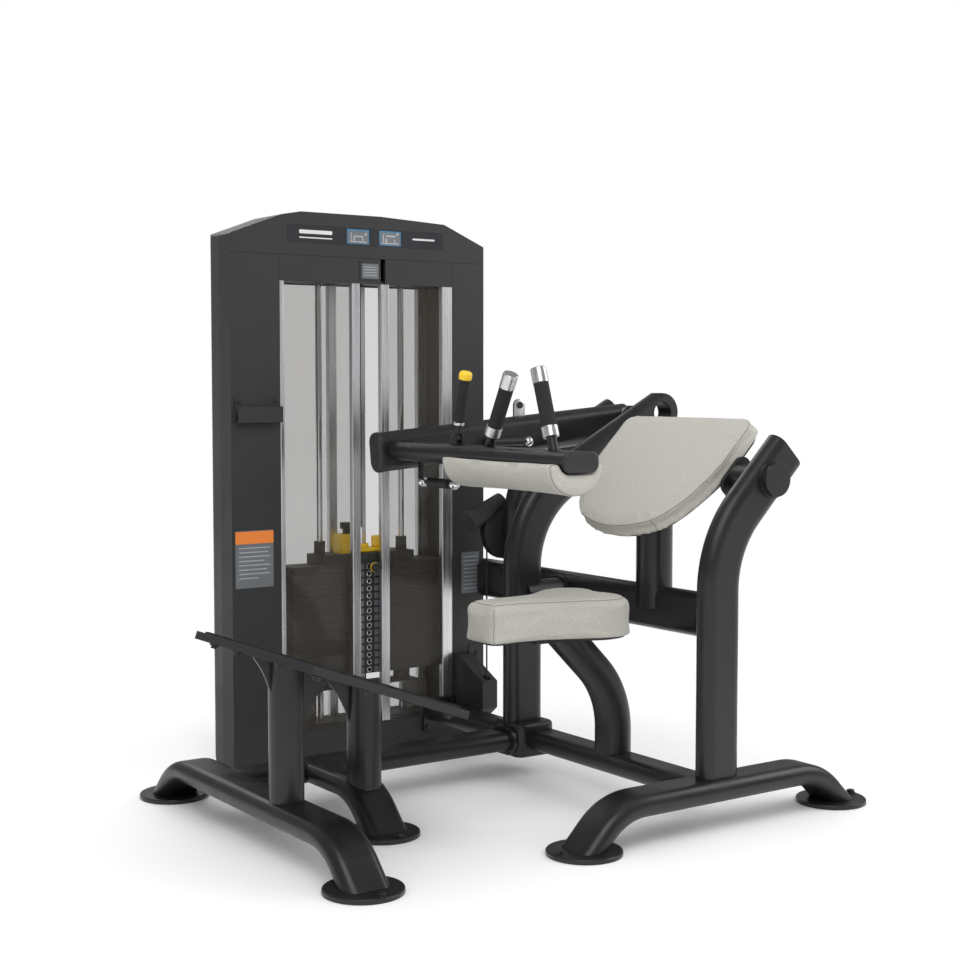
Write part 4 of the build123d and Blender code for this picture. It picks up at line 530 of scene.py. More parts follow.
@dataclass(frozen=True)
class Finish:
    """One finish: a colour, how rough it is, and which effects are on it."""

    name: str
    colour: Colour
    roughness: float
    sheen: Sheen
    grain_scale: float = 900.0
    bump: float = 0.15
    depth: float = 0.0002
    wear: float = 0.3
    worn: Colour = (0.12, 0.12, 0.125)
    dust: float = 0.1
    round_edge: float = 0.0012
    variation: float = 0.12
    coat: float = 0.0
    alpha: float = 1.0

    def build(self, effects: EffectGroups) -> bpy.types.Material:
        """Make the material.

        Args:
            effects: the shared node groups.

        Returns:
            The material.
        """
        material = bpy.data.materials.new(self.name)
        material.use_nodes = True
        tree = material.node_tree
        tree.nodes.clear()
        g = Graph(tree)
        colour, rough, normal = self._surface(g, effects)
        dust = g.add("ShaderNodeGroup", node_tree=effects.dust)
        dust.inputs["Amount"].default_value = self.dust
        inputs = {"Base Color": g.mix(dust.outputs["Mask"], colour, DUST_COLOUR), "Roughness": rough,
                  "Metallic": 1.0 if self.sheen is Sheen.METAL else 0.0, "Coat Weight": self.coat,
                  "Coat Roughness": COAT_ROUGHNESS, "Alpha": self.alpha}
        if normal is not None:
            inputs["Normal"] = normal
        if self.sheen is Sheen.HIDE:
            inputs |= HIDE_SHEEN
        shader = g.add("ShaderNodeBsdfPrincipled", inputs)
        g.add("ShaderNodeOutputMaterial", {0: shader.outputs[0]})
        return material

    def _surface(self, g: Graph, effects: EffectGroups) -> tuple[object, object, object]:
        """Colour, roughness and normal sockets of the finish before dust."""
        if self.sheen is Sheen.HIDE:
            return self._hide(g, effects)
        if self.sheen is Sheen.METAL:
            return self._metal(g)
        if self.sheen is Sheen.ROPE:
            return self._rope(g)
        grain = g.add("ShaderNodeGroup", node_tree=effects.grain)
        grain.inputs["Scale"].default_value = self.grain_scale
        base = self._mottled(g, grain.outputs["Mask"])
        rough = g.ramp(grain.outputs["Mask"], 0, 1, self.roughness - 0.04, self.roughness + 0.06)
        if self.sheen is Sheen.SHEET:
            return base, rough, None
        wear = g.add("ShaderNodeGroup", node_tree=effects.wear)
        wear.inputs["Radius"].default_value = self.round_edge
        wear.inputs["Amount"].default_value = self.wear
        bump = self._relief(g, grain.outputs["Height"], Normal=wear.outputs["Normal"])
        speckle = g.ramp(grain.outputs["Height"], 0.45, 0.75, 0.0, self.variation)
        flecked = g.mix(speckle, base, rgba(self.colour, FLECK_GAIN))
        return g.mix(wear.outputs["Mask"], flecked, rgba(self.worn)), rough, bump

    def _mottled(self, g: Graph, share: bpy.types.NodeSocket) -> bpy.types.NodeSocket:
        """The colour, darker to lighter by the finish's variation."""
        return g.mix(share, rgba(self.colour, 1 - self.variation), rgba(self.colour, 1 + self.variation))

    def _relief(self, g: Graph, height: bpy.types.NodeSocket, **inputs: object) -> bpy.types.NodeSocket:
        """The normal of the finish's relief."""
        return g.add("ShaderNodeBump", {"Strength": self.bump, "Distance": self.depth, "Height": height,
                                        **inputs}).outputs[0]

    def _hide(self, g: Graph, effects: EffectGroups) -> tuple[object, object, object]:
        """Leather: pebbles in the height and a faint mottle in the colour."""
        hide = g.add("ShaderNodeGroup", node_tree=effects.hide)
        hide.inputs["Scale"].default_value = self.grain_scale
        height = hide.outputs["Height"]
        mottled = self._mottled(g, hide.outputs["Mask"])
        colour = g.mix(g.ramp(height, 0.1, 0.9), rgba(self.colour, 0.78), mottled)
        rough = g.ramp(height, 0.0, 1.2, self.roughness + 0.08, self.roughness - 0.06)
        return colour, rough, self._relief(g, height)

    def _metal(self, g: Graph) -> tuple[object, object, object]:
        """Bare metal: fine lines along Z or the piece, as noise that is stretched a hundredfold."""
        place = g.add("ShaderNodeTexCoord")
        stretch = g.add("ShaderNodeMapping", {"Vector": place.outputs["Object"], "Scale": (1.0, 1.0, 0.012)})
        lines = g.add("ShaderNodeTexNoise", {"Vector": stretch.outputs[0], "Scale": self.grain_scale,
                                             "Detail": 3.0}).outputs[0]
        rough = g.ramp(lines, 0.3, 0.7, self.roughness * 0.8, self.roughness * 1.25)
        bevel = g.add("ShaderNodeBevel", {"Radius": self.round_edge}, samples=4)
        colour = self._mottled(g, g.ramp(lines, 0.3, 0.7))
        return colour, rough, self._relief(g, lines, Normal=bevel.outputs[0])

    def _rope(self, g: Graph) -> tuple[object, object, object]:
        """Coated rope: slanting bands across the rope as the lay that shows through its coat."""
        place = g.add("ShaderNodeTexCoord")
        slant = g.add("ShaderNodeVectorMath", {0: place.outputs["Object"], 1: (260.0, 260.0, 330.0)},
                      operation="DOT_PRODUCT")
        wave = g.add("ShaderNodeMath", {0: slant.outputs["Value"], 1: tau}, operation="MULTIPLY")
        band = g.add("ShaderNodeMath", {0: wave.outputs[0]}, operation="SINE").outputs[0]
        colour = g.mix(g.ramp(band, -1, 1), rgba(self.colour, 0.7), rgba(self.colour, 1.5))
        return colour, g.ramp(band, -1, 1, self.roughness + 0.1, self.roughness), self._relief(g, band)


FINISHES = {
    Slot.FRAME: Finish("satin_black_paint", (0.0105, 0.0105, 0.0110), 0.34, Sheen.PAINT, 1400.0, 0.10, 0.0001,
                       wear=0.16, dust=0.02),
    Slot.TOWER: Finish("charcoal_texture_coat", (0.0215, 0.0217, 0.0222), 0.56, Sheen.PAINT, 1000.0, 0.30,
                       0.0003, wear=0.22, dust=0.03, variation=0.10),
    Slot.IRON: Finish("painted_weight_iron", (0.030, 0.0295, 0.0285), 0.50, Sheen.PAINT, 500.0, 0.22, 0.0003,
                      wear=0.35, dust=0.05),
    Slot.RUBBER: Finish("ribbed_rubber", (0.016, 0.016, 0.017), 0.74, Sheen.MOULDED, 700.0, 0.25, 0.0003,
                        wear=0.1, dust=0.08),
    Slot.PLASTIC: Finish("moulded_black", (0.018, 0.018, 0.019), 0.45, Sheen.MOULDED, 1100.0, 0.16, 0.0002,
                         wear=0.08, dust=0.03),
    Slot.FOAM: Finish("foam_sleeve", (0.014, 0.014, 0.0145), 0.82, Sheen.MOULDED, 620.0, 0.50, 0.0005,
                      wear=0.0, dust=0.04),
    Slot.SILVER: Finish("brushed_aluminium", (0.70, 0.71, 0.72), 0.30, Sheen.METAL, 260.0, 0.02, 0.0001,
                        dust=0.02, variation=0.02),
    Slot.STEEL: Finish("polished_steel", (0.78, 0.78, 0.79), 0.12, Sheen.METAL, 160.0, 0.03, 0.0001,
                       dust=0.02, variation=0.04),
    Slot.CABLE: Finish("coated_rope", (0.016, 0.016, 0.017), 0.4, Sheen.ROPE, bump=0.4, depth=0.0004,
                       dust=0.02),
    Slot.UPHOLSTERY: Finish("off_white_hide", (0.49, 0.478, 0.425), 0.55, Sheen.HIDE, 300.0, 0.55, 0.0005,
                            dust=0.0, variation=0.075),
    Slot.YELLOW: Finish("yellow_moulding", (0.78, 0.50, 0.012), 0.34, Sheen.MOULDED, 800.0, 0.08, 0.0002,
                        wear=0.05, worn=(0.9, 0.68, 0.1), dust=0.02, coat=0.2),
    Slot.CLEAR: Finish("smoked_sheet", (0.090, 0.078, 0.060), 0.04, Sheen.SHEET, 3.0, dust=0.0, alpha=0.20,
                       variation=0.01),
    Slot.PANEL: Finish("gloss_panel", (0.022, 0.023, 0.026), 0.16, Sheen.MOULDED, 40.0, 0.01, 0.0001,
                       wear=0.0, dust=0.02, variation=0.05, coat=0.5),
}


class PrintFinish(Enum):
    """Flat inks for the labels and marks, and a dark colour laid in the seams as painted shadow."""

    WHITE = ("white_ink", (0.62, 0.62, 0.61))
    ORANGE = ("orange_ink", (0.78, 0.21, 0.03))
    GREY = ("grey_label", (0.13, 0.14, 0.15))
    PALE = ("pale_ink", (0.34, 0.35, 0.36))
    BLUE = ("blue_ink", (0.03, 0.16, 0.30))
    SEAM = ("seam_shadow", (0.13, 0.125, 0.11))
    THREAD = ("pale_thread", (0.66, 0.65, 0.60))

    def build(self, effects: EffectGroups) -> bpy.types.Material:
        """Make the ink as a thin satin layer with a little mottle."""
        name, colour = self.value
        return Finish(name, colour, 0.45, Sheen.MOULDED, 900.0, 0.05, 0.0001, wear=0.0, dust=0.02,
                      round_edge=0.0003, variation=0.06).build(effects)


@dataclass
class Palette:
    """Every material, built once."""

    by_slot: dict[Slot, bpy.types.Material]
    inks: dict[PrintFinish, bpy.types.Material]

    @classmethod
    def build(cls) -> "Palette":
        """Build all finishes and inks."""
        effects = EffectGroups()
        return cls({slot: finish.build(effects) for slot, finish in FINISHES.items()},
                   {ink: ink.build(effects) for ink in PrintFinish})

    def dress(self) -> None:
        """Give every CAD node the finish of its material slot."""
        for row in frame["record"]["subparts"]:
            mesh = frame["nodes"][row["node"]].data
            mesh.materials.clear()
            mesh.materials.append(self.by_slot[Slot(row["material_slot"])])

    def piece(self, name: str, shape: Shape, slot: Slot, body: str, sharp: float = 35.0) -> bpy.types.Object:
        """A piece in a slot's own finish."""
        return Piece.make(name, shape, self.by_slot[slot], body, slot, sharp)

    def thread(self, name: str, shape: Shape, body: str) -> bpy.types.Object:
        """Stitching in a pale thread."""
        return Piece.make(name, shape, self.inks[PrintFinish.THREAD], body, Slot.UPHOLSTERY, 60.0)

    def printed(self, name: str, shape: Shape, ink: PrintFinish, body: str) -> bpy.types.Object:
        """A thin printed piece."""
        return Piece.make(name, shape, self.inks[ink], body, Slot.PANEL)


def corners(*nodes: str) -> tuple[np.ndarray, np.ndarray]:
    """Lowest and highest corners of some CAD nodes together."""
    boxes = [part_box(node) for node in nodes]
    return np.min([b[0] for b in boxes], 0), np.max([b[1] for b in boxes], 0)


def joint_place(name: str) -> np.ndarray:
    """The point that a hinge turns about."""
    return np.array(next(j["pos_m"] for j in frame["joints"] if j["name"] == name))


# ---------------------------------------------------------------- upholstery

SWELL_FRAMES = 20
BLOCK = 8000
ALL_SMOOTH = 180.0
STITCH = {"length": 0.0046, "gap": 0.0026, "width": 0.0007, "rise": 0.0003, "look": 0.002}
SEAM_LINE = {"rise": 0.0001, "radius": 0.0007}

@dataclass
class Cushion:
    """A foam pad in its cover: swollen by cloth simulation, then seamed and stitched.

    The start shape is a stack of rings: the outline drawn in to its middle on the back, up the side with a
    slight waist, round the rim, and in again over the crowned face.
    """

    name: str
    node: str
    body: str
    axes: Axes
    outline: np.ndarray
    low: float
    high: float
    rim: float
    crown: float
    fill: float = 0.85
    voxel: float = 0.006
    swell_cap: float = 0.005
    pressure: float = 4.0
    start_inset: float = 0.003
    waist: float = 0.003
    groove_depth: float = 0.0016
    groove_width: float = 0.0024

    def start_shape(self) -> Shape:
        """The pad before it swells.

        Ring scale s and height h run: (0..1, low), the side at 1 less the waist's half sine, the rim as a
        quarter ellipse, and (1..0, high + crown (1 - s squared)).
        """
        edge = resampled(self.outline, 220)
        middle = self.middles(edge)
        normal = outline_normals(edge)
        inward = np.linspace(0.04, 1.0, 9)
        side = np.linspace(0, 1, 7)
        turn = np.linspace(0, pi / 2, 7)[1:]
        rows = []
        for s in inward[:-1]:
            rows.append((middle + (edge - middle) * s, self.low))
        base = edge - normal * self.start_inset
        top = self.high - self.rim
        for t in side:
            rows.append((base - normal * self.waist * sin(pi * t), self.low + (top - self.low) * t))
        for a in turn:
            rows.append((base - normal * self.rim * (1 - cos(a)), top + self.rim * sin(a)))
        face = base - normal * self.rim
        for s in inward[::-1][1:]:
            rows.append((middle + (face - middle) * s, self.high + self.crown * (1 - s * s)))
        rings = np.array([np.column_stack((flat, np.full(len(edge), height))) for flat, height in rows])
        return loft(rings).placed(self.axes)

    def middles(self, edge: np.ndarray) -> np.ndarray:
        """Where each point of the edge is drawn in to on the back and the face: the middle of them all."""
        return edge.mean(0)

    def held(self, local: np.ndarray) -> np.ndarray:
        """Which points lie on the backing and stay put."""
        return local[:, 2] < self.low + self.voxel

    def build(self, palette: Palette) -> bpy.types.Object:
        """Make the pad, swell it and press in its seams.

        Args:
            palette: the materials.

        Returns:
            The pad.
        """
        pad = palette.piece(self.name, self.start_shape(), Slot.UPHOLSTERY, self.body, ALL_SMOOTH)
        self._remesh(pad)
        self._swell(pad)
        self._subdivide(pad)
        for seam in self.seams():
            self._press(pad, seam)
        pad.data.shade_smooth()
        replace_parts(pad, self.node)
        return pad

    def seams(self) -> list[np.ndarray]:
        """Lines in the row frame where the cover is drawn in."""
        raise NotImplementedError

    def stitch_line(self) -> tuple[np.ndarray, bool]:
        """The line beside the seam that the stitches follow, and whether it is a loop."""
        raise NotImplementedError

    @staticmethod
    def _bake(pad: bpy.types.Object) -> None:
        """Replace the pad's mesh by what its modifiers make of it."""
        evaluated = pad.evaluated_get(bpy.context.evaluated_depsgraph_get())
        mesh = bpy.data.meshes.new_from_object(evaluated)
        old = pad.data
        pad.modifiers.clear()
        pad.data = mesh
        bpy.data.meshes.remove(old)

    def _remesh(self, pad: bpy.types.Object) -> None:
        """Even squares of one voxel's size all over the pad."""
        modifier = pad.modifiers.new("voxels", "REMESH")
        modifier.mode = "VOXEL"
        modifier.voxel_size = self.voxel
        self._bake(pad)

    def _subdivide(self, pad: bpy.types.Object) -> None:
        """One level of subdivision, applied."""
        modifier = pad.modifiers.new("finer", "SUBSURF")
        modifier.levels = modifier.render_levels = 1
        self._bake(pad)

    def _swell(self, pad: bpy.types.Object) -> None:
        """Blow the cover up with cloth: pressure for 20 frames, each point held within the cap."""
        start = vertex_rows(pad.data, "co")
        backing = pad.vertex_groups.new(name="backing")
        backing.add(np.flatnonzero(self.held(self.axes.local(start))).tolist(), 1.0, "REPLACE")
        modifier = pad.modifiers.new("cover", "CLOTH")
        settings = modifier.settings
        settings.use_pressure = True
        settings.uniform_pressure_force = self.pressure
        settings.effector_weights.gravity = 0.0
        settings.quality = 5
        settings.vertex_group_mass = "backing"
        modifier.point_cache.frame_start = 1
        modifier.point_cache.frame_end = SWELL_FRAMES
        scene = bpy.context.scene
        for moment in range(1, SWELL_FRAMES + 1):
            scene.frame_set(moment)
        evaluated = pad.evaluated_get(bpy.context.evaluated_depsgraph_get())
        move = vertex_rows(evaluated.data, "co") - start
        length = np.maximum(lengths(move), TINY)[:, None]
        move *= np.minimum(1.0, self.swell_cap / length)
        pad.modifiers.clear()
        pad.vertex_groups.clear()
        pad.data.vertices.foreach_set("co", (start + move).ravel())
        pad.data.update()
        scene.frame_set(1)
        LOG.info("%s: swelled by up to %.1f mm", self.name, float(lengths(move).max() * 1000))

    def _press(self, pad: bpy.types.Object, seam: np.ndarray) -> None:
        """Draw the cover in along a seam: each point moves inwards by depth times exp(-(distance/width)^2).

        Args:
            pad: the pad.
            seam: points of the seam in the row frame.
        """
        mesh = pad.data
        points, normals = vertex_rows(mesh, "co"), vertex_rows(mesh, "normal")
        near = np.empty(len(points))
        for start in range(0, len(points), BLOCK):
            block = points[start:start + BLOCK]
            near[start:start + BLOCK] = np.sqrt(((block[:, None] - seam[None]) ** 2).sum(2).min(1))
        depth = self.groove_depth * np.exp(-(near / self.groove_width) ** 2)
        mesh.vertices.foreach_set("co", (points - normals * depth[:, None]).ravel())
        mesh.update()

    def trim(self, palette: Palette, pad: bpy.types.Object) -> None:
        """Stitch the cover beside its seam, and lay a dark line of painted shadow at the bottom of each seam.

        Args:
            palette: the materials.
            pad: the pad, with its seams pressed in.
        """
        mesh = pad.data
        tree = BVHTree.FromPolygons([v.co for v in mesh.vertices], [p.vertices for p in mesh.polygons])
        line, closed = self.stitch_line()
        palette.thread(f"{self.name}_stitching", stitches(*laid(tree, line), closed), self.body)
        lines = []
        for seam in self.seams():
            points, normals = laid(tree, seam)
            lines.append(carried(points + normals * SEAM_LINE["rise"], SEAM_LINE["radius"], 6))
        # The dark lines are painted shadow at the bottom of the pressed seams.
        palette.printed(f"{self.name}_seams", total(lines), PrintFinish.SEAM, self.body)

    def drop(self, point: np.ndarray, count: int) -> np.ndarray:
        """A straight line from the pad's back to its face at one point of its plan."""
        down = np.linspace(self.low, self.high, count)
        return self.axes.place(np.column_stack((np.tile(point, (count, 1)), down)))

    def face_line(self, inset: float, count: int) -> np.ndarray:
        """A line on the face that follows the outline at an inset, before it is laid on the surface."""
        edge = resampled(self.outline, count)
        line = edge - outline_normals(edge) * inset
        return self.axes.place(np.column_stack((line, np.full(count, self.high + self.crown * 0.2))))


def vertex_rows(mesh: bpy.types.Mesh, what: str) -> np.ndarray:
    """One property of every vertex, such as its place or normal, a row each."""
    values = np.empty(len(mesh.vertices) * 3)
    mesh.vertices.foreach_get(what, values)
    return values.reshape(-1, 3)


def laid(tree: BVHTree, points: np.ndarray) -> tuple[np.ndarray, np.ndarray]:
    """Points and normals on a surface nearest to the given points."""
    found = [tree.find_nearest(Vector(p)) for p in points]
    return np.array([f[0] for f in found]), np.array([f[1] for f in found])


def stitches(points: np.ndarray, normals: np.ndarray, closed: bool = False) -> Shape:
    """Thread dashes along a line: a capsule at each step, lying in the surface.

    Args:
        points: the line, on the surface.
        normals: the surface's normals there.
        closed: whether the line is a loop.

    Returns:
        All stitches as one shape.
    """
    if closed:
        points, normals = np.vstack((points, points[:1])), np.vstack((normals, normals[:1]))
    along = run_of(points)
    at = np.arange(STITCH["length"], along[-1] - STITCH["length"] / 2, STITCH["length"] + STITCH["gap"])
    here, out = read_off(at, along, points), read_off(at, along, normals)
    ahead = read_off(at + STITCH["look"], along, points)
    half, width = STITCH["length"] / 2, STITCH["width"]
    capsule = turned([(width * r, half * h) for r, h in
                      ((0.35, -1), (0.9, -0.8), (1, 0), (0.9, 0.8), (0.35, 1))], 6)
    places = [Axes.along(p + n * STITCH["rise"], a - p, n) for p, a, n in zip(here, ahead, out)
              if np.linalg.norm(a - p) > 1e-6]
    return capsule.repeated(places)


@dataclass
class BackPad(Cushion):
    """The wide back pad: straight sides, drawn in to a rounded foot, with a boxing panel round it."""

    seam_inset: float = 0.0035
    stitch_inset: float = 0.0095

    @classmethod
    def make(cls) -> "BackPad":
        """Size the pad from its CAD node and stand it on its tilt."""
        low, high = corners("back_pad")
        normal, up = unit((-1, 0, 1)), unit((1, 0, 1))
        axes = Axes.along(joint_place("back_pad_tilt"), normal, (0, -1, 0))
        half = (high[1] - low[1]) / 2
        top, foot, waist, foot_half, sag, corner = 0.170, -0.220, 0.030, half - 0.115, 0.032, 0.044
        turn = np.linspace(0, pi / 2, 8)
        across = np.linspace(foot_half, 0, 14)[:, None]
        right = np.vstack((
            np.stack((half - corner + corner * np.sin(turn), top - corner + corner * np.cos(turn)), 1),
            bezier((half, top - corner), (half, 0.10), (half, 0.07), (half, waist), 6)[1:],
            bezier((half, waist), (half, waist - 0.095), (foot_half + 0.07, foot + 0.0385), (foot_half, foot),
                   18),
            np.hstack((across, foot - sag * (1 - (across / foot_half) ** 2)))))
        sign = np.sign(np.dot(axes.y, up))
        outline = np.vstack((right, (right * (-1, 1))[-2::-1]))
        outline[:, 1] *= sign
        loop = outline if sign < 0 else outline[::-1]
        return cls("back_cushion", "back_pad", "back_rest", axes, loop, low=0.0122, high=0.0550, rim=0.0055,
                   crown=0.0012)

    def seams(self) -> list[np.ndarray]:
        """The seam round the face and two seams down the boxing at the foot's corners."""
        edge = self.outline[np.abs(np.abs(self.outline[:, 1]) - 0.220) < 0.002]
        edge = edge[np.abs(edge[:, 0]) > 0.1]
        return [self.face_line(self.seam_inset, 700), *(self.drop(point, 24) for point in edge[[0, -1]])]

    def stitch_line(self) -> tuple[np.ndarray, bool]:
        """Round the face, on the seam's inner side."""
        return self.face_line(self.stitch_inset, 900), True


@dataclass
class SeatPad(Cushion):
    """The pear-shaped seat: a blunt nose, a waist and a wide round tail."""

    seam_inset: float = 0.022
    stitch_inset: float = 0.0262

    @classmethod
    def make(cls) -> "SeatPad":
        """Size the seat from its CAD node."""
        low, high = corners("seat_pad")
        middle_y = (low[1] + high[1]) / 2
        axes = Axes(np.array((0, middle_y, 0)), np.array((1.0, 0, 0)), np.array((0, 1.0, 0)), UP)
        nose, tail, wide = low[0], high[0], (high[1] - low[1]) / 2
        narrow, corner, shoulder, hollow = 0.070, 0.026, 0.090, 0.084
        turn = np.linspace(0, pi / 2, 8)
        nose_arc = np.stack((nose + corner - corner * np.cos(turn),
                             narrow - corner + corner * np.sin(turn)), 1)
        t = np.linspace(0, 1, 26)[1:-1]
        eased_t = (3 * t ** 2 - 2 * t ** 3) ** 2.2
        flank = np.stack((nose + corner + (tail - shoulder - nose - corner) * t,
                          narrow + (wide - narrow) * eased_t), 1)
        round_tail = np.stack((tail - shoulder + shoulder * np.sin(turn),
                               wide - hollow + hollow * np.cos(turn)), 1)
        left = np.vstack((nose_arc, flank, round_tail))
        outline = np.vstack((left, (left * (1, -1))[::-1]))[::-1]
        return cls("seat_cushion", "seat_pad", "frame", axes, outline, low=low[2] + 0.0005,
                   high=high[2] - 0.004, rim=0.020, crown=0.003)

    def seams(self) -> list[np.ndarray]:
        """The seam round the top and the upright seams at the nose's corners."""
        nose = self.outline[:, 0].min() + 0.010
        return [self.face_line(self.seam_inset, 500),
                *(self.drop((nose, side * 0.062), 40) for side in (-1, 1))]

    def stitch_line(self) -> tuple[np.ndarray, bool]:
        """Round the top, on the seam's inner side."""
        return self.face_line(self.stitch_inset, 600), True


BAR_FLAT, BAR_ROUND = 0.026, 0.025
HELD_REACH, RIM_REACH = 0.007, 0.012
STEEPEST = 0.28


@dataclass
class HipPad(Cushion):
    """The half-round pad wrapped under the crossbar, with a crescent at each end."""

    @classmethod
    def make(cls) -> "HipPad":
        """Size the pad from its CAD node and the bar that it hangs from."""
        low, high = corners("hip_pad")
        bar_low, bar_high = corners("pad_crossbar")
        centre = (bar_low + bar_high) / 2
        axes = Axes.along((centre[0], 0, centre[2]), (0, -1, 0), (1, 0, 0))
        half, depth, lip = (high[0] - low[0]) / 2, centre[2] - low[2], high[2] - centre[2]
        bar, flat = (bar_high[2] - bar_low[2]) / 2 + 0.0004, (bar_high[0] - bar_low[0]) / 2 - 0.025
        outer = np.vstack((
            bezier((-half, lip), (-half - 0.002, lip - depth * 0.62), (-half / 2 - 0.006, -depth),
                   (0, -depth), 30),
            bezier((0, -depth), (half / 2 + 0.006, -depth), (half + 0.002, lip - depth * 0.62),
                   (half, lip), 30)))
        turn = np.linspace(0.08, pi / 2, 10)
        nook = np.stack((flat + bar * np.cos(turn), -bar * np.sin(turn)), 1)
        outline = np.vstack((outer, [(half - 0.003, lip + 0.001)], nook, (nook * (-1, 1))[::-1],
                             [(-half + 0.003, lip + 0.001)]))
        return cls("hip_cushion", "hip_pad", "arm", axes, outline, low=-high[1], high=-low[1] + 0.004,
                   rim=0.011, crown=0.006, voxel=0.0055, swell_cap=0.003)

    def middles(self, edge: np.ndarray) -> np.ndarray:
        """Points half way between the bar and the outer curve, so that the crescent never folds."""
        slope = np.clip(np.arctan2(edge[:, 1], edge[:, 0] * 0.9), -pi + STEEPEST, -STEEPEST)
        slope = np.where(edge[:, 1] > -0.004, np.where(edge[:, 0] > 0, -STEEPEST, -pi + STEEPEST), slope)
        return np.stack((0.066 * np.cos(slope), 0.056 * np.sin(slope)), 1)

    def held(self, local: np.ndarray) -> np.ndarray:
        """Points that touch the bar stay put, and so does the far end."""
        return (local[:, 2] < self.low + self.voxel) | (self._from_bar(local) < HELD_REACH)

    @staticmethod
    def _from_bar(local: np.ndarray) -> np.ndarray:
        """How far points lie from the bar: outside a slot of the bar's half width and radius."""
        return np.hypot(np.maximum(np.abs(local[:, 0]) - BAR_FLAT, 0), local[:, 1]) - BAR_ROUND

    def rim_line(self, inward: float, back: float, count: int) -> np.ndarray:
        """A line along the outer curve of the near crescent, so far in from the curve and behind the face."""
        curve = resampled(self.outline, 900)
        curve = curve - outline_normals(curve) * inward
        curve = curve[self._from_bar(curve) > RIM_REACH]
        start = int(np.argmax(lengths(np.diff(curve, axis=0, append=curve[:1])))) + 1
        curve = np.roll(curve, -start, 0)[:: max(1, len(curve) // count)]
        return self.axes.place(np.column_stack((curve, np.full(len(curve), self.high - back))))

    def seams(self) -> list[np.ndarray]:
        """The seam where the crescent meets the wrap."""
        return [self.rim_line(0.001, 0.008, 400)]

    def stitch_line(self) -> tuple[np.ndarray, bool]:
        """Across the wrap, beside the crescent's seam."""
        return self.rim_line(0.0, 0.0175, 400), False


# ---------------------------------------------------------------- fittings and labels


def facing(x: float, y: float, z: float, way: Sequence[float] = (0, -1, 0)) -> Axes:
    """Axes for a thing that faces a way, its own x along +X or across it."""
    return Axes.along((x, y, z), way, (1, 0, 0) if abs(way[0]) < 0.9 else (0, 1, 0))


def card(axes: Axes, width: float, height: float, thick: float = 0.0004, radius: float = 0.002) -> Shape:
    """Thin rounded card: a rounded rectangle with an eased rim, lying on its axes."""
    small = min(radius, width * 0.45, height * 0.45)
    return slab(rounded_rectangle(width, height, small, 4), 0.0, thick, thick * 0.3, 2).placed(axes)


SEGMENTS = {"0": "abcdef", "1": "bc", "2": "abged", "3": "abgcd", "4": "fgbc", "5": "afgcd", "6": "afgedc",
            "7": "abc", "8": "abcdefg", "9": "abcdfg"}


def number(value: int, x: float, y: float, z: float, height: float) -> Shape:
    """A plain number in straight strokes that faces -Y, its middle at the place given."""
    wide, stroke = height * 0.5, height * 0.14
    places = {"a": (0, 1, 0), "d": (0, -1, 0), "g": (0, 0, 0), "b": (1, 0.5, 1), "c": (1, -0.5, 1),
              "f": (-1, 0.5, 1), "e": (-1, -0.5, 1)}
    strokes = []
    for index, digit in enumerate(str(value)):
        middle = x + (index - (len(str(value)) - 1) / 2) * wide * 1.5
        for name in SEGMENTS[digit]:
            side, level, upright = places[name]
            size = (stroke, height * 0.5) if upright else (wide, stroke)
            strokes.append(card(facing(middle + side * (wide - stroke) / 2, y, z + level * height / 2), *size,
                                thick=0.0003, radius=stroke * 0.2))
    return total(strokes)


PLATE_TILT = radians(20.0)
PLATE_FOOT = np.array((-0.400, -0.251, 0.364))
TREAD_PITCH, RIB_PITCH = 0.0695833, 0.0072
LEFT_LABEL, RIGHT_LABEL = (-0.3925, 0.615), (0.3635, 0.526)
LABEL_RISE, CARD_RISE, LINE_PITCH = 0.0005, 0.0004, 0.0125
CARD_XS, TAG_X, HEADER_Z = (-0.042, 0.070), -0.0005, 1.458
STACK_X, STACK_Y, WEIGHT_PITCH = 0.012, 0.646, 0.0227
BALL = 0.0154


